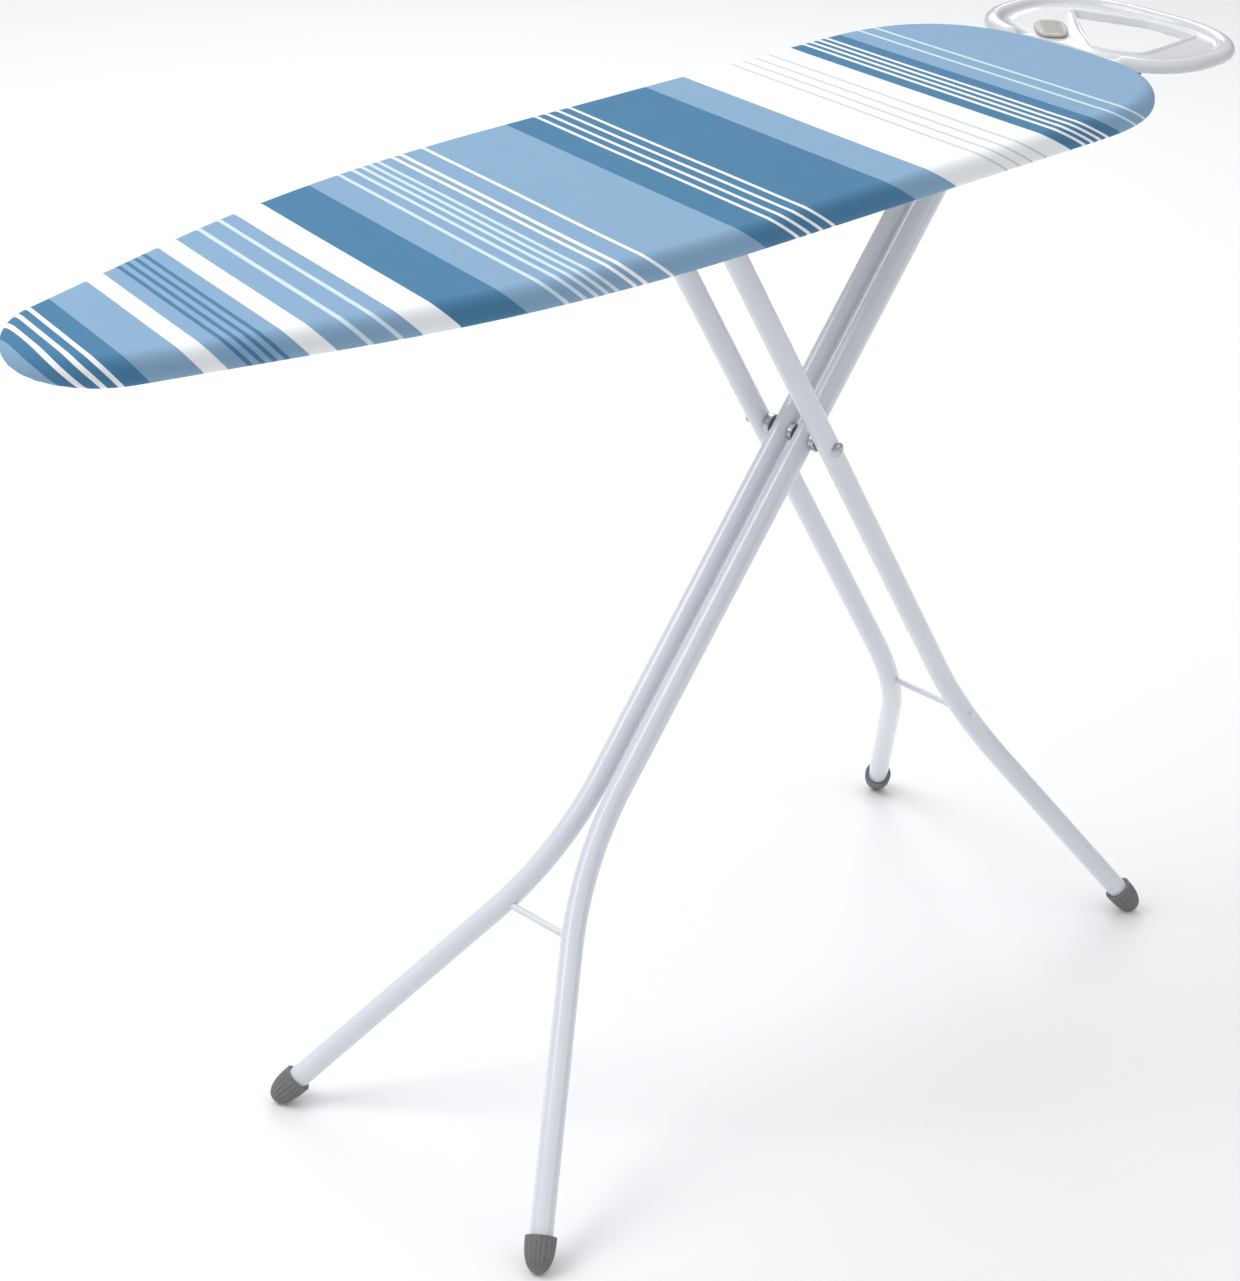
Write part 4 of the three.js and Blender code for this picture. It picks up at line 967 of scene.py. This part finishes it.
# %% [markdown]
# ## The iron rest
# The rest is one moulding: a thick rounded band round the outside, a thin lip round the way
# through and a lower shelf between them. Seen from the middle of the opening, every direction
# crosses lip, shelf and band in that order, so one section swept through all angles makes it.
# Where the shelf meets the tail of the board the band dies away.

# %% Iron rest outline
REST_MIDDLE = np.array([1236.0, 8.0])
ROUND = 480
angles = around(ROUND)


def radius_of(points, closed=True):
    """Distance from the rest's middle to a loop of points at each of the angles. An open run
    gives infinity in the directions that it doesn't cover."""
    rel = points - REST_MIDDLE
    bearing = np.mod(np.arctan2(rel[:, 1], rel[:, 0]), 2 * np.pi)
    order = np.argsort(bearing)
    reach = np.hypot(*rel.T)
    if closed:
        return np.interp(angles, bearing[order], reach[order], period=2 * np.pi)
    covered = (angles >= bearing.min()) & (angles <= bearing.max())
    return np.where(covered, np.interp(angles, bearing[order], reach[order]), np.inf)


t = around(720)
HALF_LENGTH, HALF_REST, REST_OFFSET = 89.5, 118.0, 12
rest_loop = np.stack([
    LENGTH + 169 - HALF_LENGTH + HALF_LENGTH * np.sign(np.cos(t)) * np.abs(np.cos(t)) ** 0.8,
    REST_OFFSET + HALF_REST * np.sign(np.sin(t)) * np.abs(np.sin(t)) ** 0.8], 1)
way_corners = np.array([(1177, -10), (1184, -36), (1196, -52), (1284, -48), (1291, 6),
                        (1265, 77), (1216, 29)], float)
way_loop = even_loop(way_corners, 360)
for _ in range(60):
    way_loop = (np.roll(way_loop, 1, 0) + 2 * way_loop + np.roll(way_loop, -1, 0)) / 4
tail = edge + normals * 3.0
facing = ((REST_MIDDLE - tail) * normals).sum(1) > 0
tail_reach = radius_of(tail[facing & (tail[:, 0] > 1000)], closed=False)
band_reach = radius_of(rest_loop)
inner_reach = radius_of(way_loop)
outer_reach = np.minimum(band_reach, tail_reach)
at_tail = (tail_reach < band_reach).astype(float)
for _ in range(10):
    at_tail = (np.roll(at_tail, 1) + 2 * at_tail + np.roll(at_tail, -1)) / 4
print("rest ring from", round(float((outer_reach - inner_reach).min()), 1), "to",
      round(float((outer_reach - inner_reach).max()), 1), "mm wide")

# %% Iron rest surface
FLOOR_Z, BASE_Z = 852.0, 846.0
lip = np.array([(1.0, 846.0), (0.0, 846.9), (0.0, 852.6), (0.5, 854.0), (1.7, 854.7), (3.0, 854.5),
                (4.0, 853.2), (5.0, 852.3), (6.6, 852.0)])
band = np.array([(19.0, 852.0), (17.8, 852.4), (16.6, 853.6), (15.6, 855.3), (14.2, 856.9), (12.0, 857.8),
                 (9.0, 858.0), (6.0, 857.6), (3.6, 856.4), (1.7, 854.6), (0.5, 852.3), (0.0, 850.1),
                 (0.3, 848.1), (1.4, 846.5), (3.2, 846.0), (5.0, 846.0), (5.8, 847.0), (6.6, 851.0),
                 (9.0, 853.8), (12.4, 853.8), (14.6, 851.0), (15.2, 847.0), (16.2, 846.0)])
width = outer_reach - inner_reach
squeeze = np.minimum(1.0, (width - 0.5) / 26.5)
shelf = np.linspace(0, 1, 7)[1:-1]
lip_out = lip[:, 0][None] * squeeze[:, None]
band_width = (1 - 0.55 * at_tail) * squeeze
band_in = width[:, None] - band[:, 0][None] * band_width[:, None]
shelf_out = lip_out[:, -1:] + shelf[None] * (band_in[:, :1] - lip_out[:, -1:])
base = np.linspace(0, 1, 5)[1:-1]
base_out = band_in[:, -1:] + base[None] * (lip_out[:, :1] - band_in[:, -1:])
band_z = np.repeat(band[:, 1][None], ROUND, 0)
raised = np.array(band[:, 1] > FLOOR_Z) & (np.arange(len(band)) < 12)
band_z = np.where(raised[None], FLOOR_Z + (band_z - FLOOR_Z) * (1 - 0.8 * at_tail[:, None]), band_z)
hollow = (np.arange(len(band)) >= 16) & (np.arange(len(band)) <= 21)
band_z = np.where(hollow[None], BASE_Z + (band_z - BASE_Z) * (1 - 0.85 * at_tail[:, None]), band_z)
out = np.concatenate([lip_out, shelf_out, band_in, base_out], 1)
z = np.concatenate([np.repeat(lip[:, 1][None], ROUND, 0), np.full((ROUND, len(shelf)), FLOOR_Z),
                    band_z, np.full((ROUND, len(base)), BASE_Z)], 1)
reach = inner_reach[:, None] + out
direction = np.stack([np.cos(angles), np.sin(angles)], 1)
rest_points = np.concatenate([REST_MIDDLE + reach[..., None] * direction[:, None], z[..., None]], -1)
rest = sew("iron_rest_moulding", rest_points, wrap=(True, True), sharp=70.0)
dress(rest, "board", milky.material, "rest_plastic", "iron_rest_tray")

# %% Ribbed heat pad
HEAT_AT, HEAT_FOOT, HEAT_TURN = (LENGTH + 42, 50.0), FLOOR_Z + 0.35, math.radians(42)
a = around(160)
c, s = np.cos(a), np.sin(a)
rim_xy = np.stack([27 * np.sign(c) * np.abs(c) ** 0.7, 15 * np.sign(s) * np.abs(s) ** 0.7], 1)
shares = np.concatenate([np.linspace(0, 0.9, 40), [0.93, 0.96, 0.985, 1.0, 1.0, 0.985, 0.95]])
pad_xy = shares[:, None, None] * rim_xy[None]
round_z = np.array([2.9] * 40 + [2.85, 2.6, 2.2, 1.4, 0.9, 0.3, 0.0])[:, None]
within = np.clip((21.5 - np.abs(pad_xy[..., 0])) / 2.0, 0, 1)
within = within * np.clip((10.4 - np.abs(pad_xy[..., 1])) / 2.0, 0, 1)
within = within * (np.arange(len(shares)) < 40)[:, None]
ribs = 1.45 * (0.5 + 0.5 * np.cos(2 * np.pi * pad_xy[..., 0] / 6.8)) ** 0.8 * within
pad_z = HEAT_FOOT + round_z + ribs - 0.45 * within
swung_xy = pad_xy @ np.array([[math.cos(HEAT_TURN), math.sin(HEAT_TURN)],
                              [-math.sin(HEAT_TURN), math.cos(HEAT_TURN)]])
heat_points = np.concatenate([swung_xy + HEAT_AT, pad_z[..., None]], -1)
middle_low = np.full((1, len(a), 3), [*HEAT_AT, HEAT_FOOT])
heat = sew("ribbed_heat_pad", np.concatenate([heat_points, middle_low]), sharp=45.0)
dress(heat, "board", rib_grey.material, "rest_pad", "iron_rest_pad")

# %% Arms under the rest
ARM_FROM, ARM_TO, ARM_OUT, ARM_RADIUS = 1000, 1236, 56.0, 4.0
low_z, high_z = TOP_Z - SKIRT - 1.8 - ARM_RADIUS, BASE_Z - 0.3 - ARM_RADIUS
run = np.linspace(ARM_FROM, ARM_TO, 160)
climb = np.clip((run - (LENGTH + 24 - 16)) / 32, 0, 1)
climb = climb * climb * (3 - 2 * climb)
for hand, side in HANDS:
    line = np.stack([run, np.full_like(run, side * ARM_OUT), low_z + (high_z - low_z) * climb], 1)
    arm = sew(f"rest_bar_{hand}", sweep(line, circle(ARM_RADIUS, 24), (0, 1, 0), chamfer=0.8))
    dress(arm, "board", dark_arm.material, "arm", f"rest_arm_{hand}")
print("rest", len(rest.data.polygons), "faces, pad", len(heat.data.polygons))

# %% [markdown]
# ## Finishes for the pressed parts
# The channels, brackets, rails, rack, shoes and pawl are already right as flat pressed steel
# and moulded blocks, so they keep their own meshes and only take a finish.

# %% Finishes on the frame's own nodes
finish_of = {"enamel": enamel, "zinc": zinc, "nylon": nylon, "arm": dark_arm, "cover": cotton,
             "foam": felt, "cord": braid, "foot_cap": foot_grey, "rest_plastic": milky,
             "rest_pad": rib_grey}
kept = 0
for part in frame["record"]["subparts"]:
    node = frame["nodes"][part["node"]]
    for place in node.material_slots:
        place.material = finish_of[part["material_slot"]].material
    kept += not node.hide_render
print("nodes that show themselves:", kept)
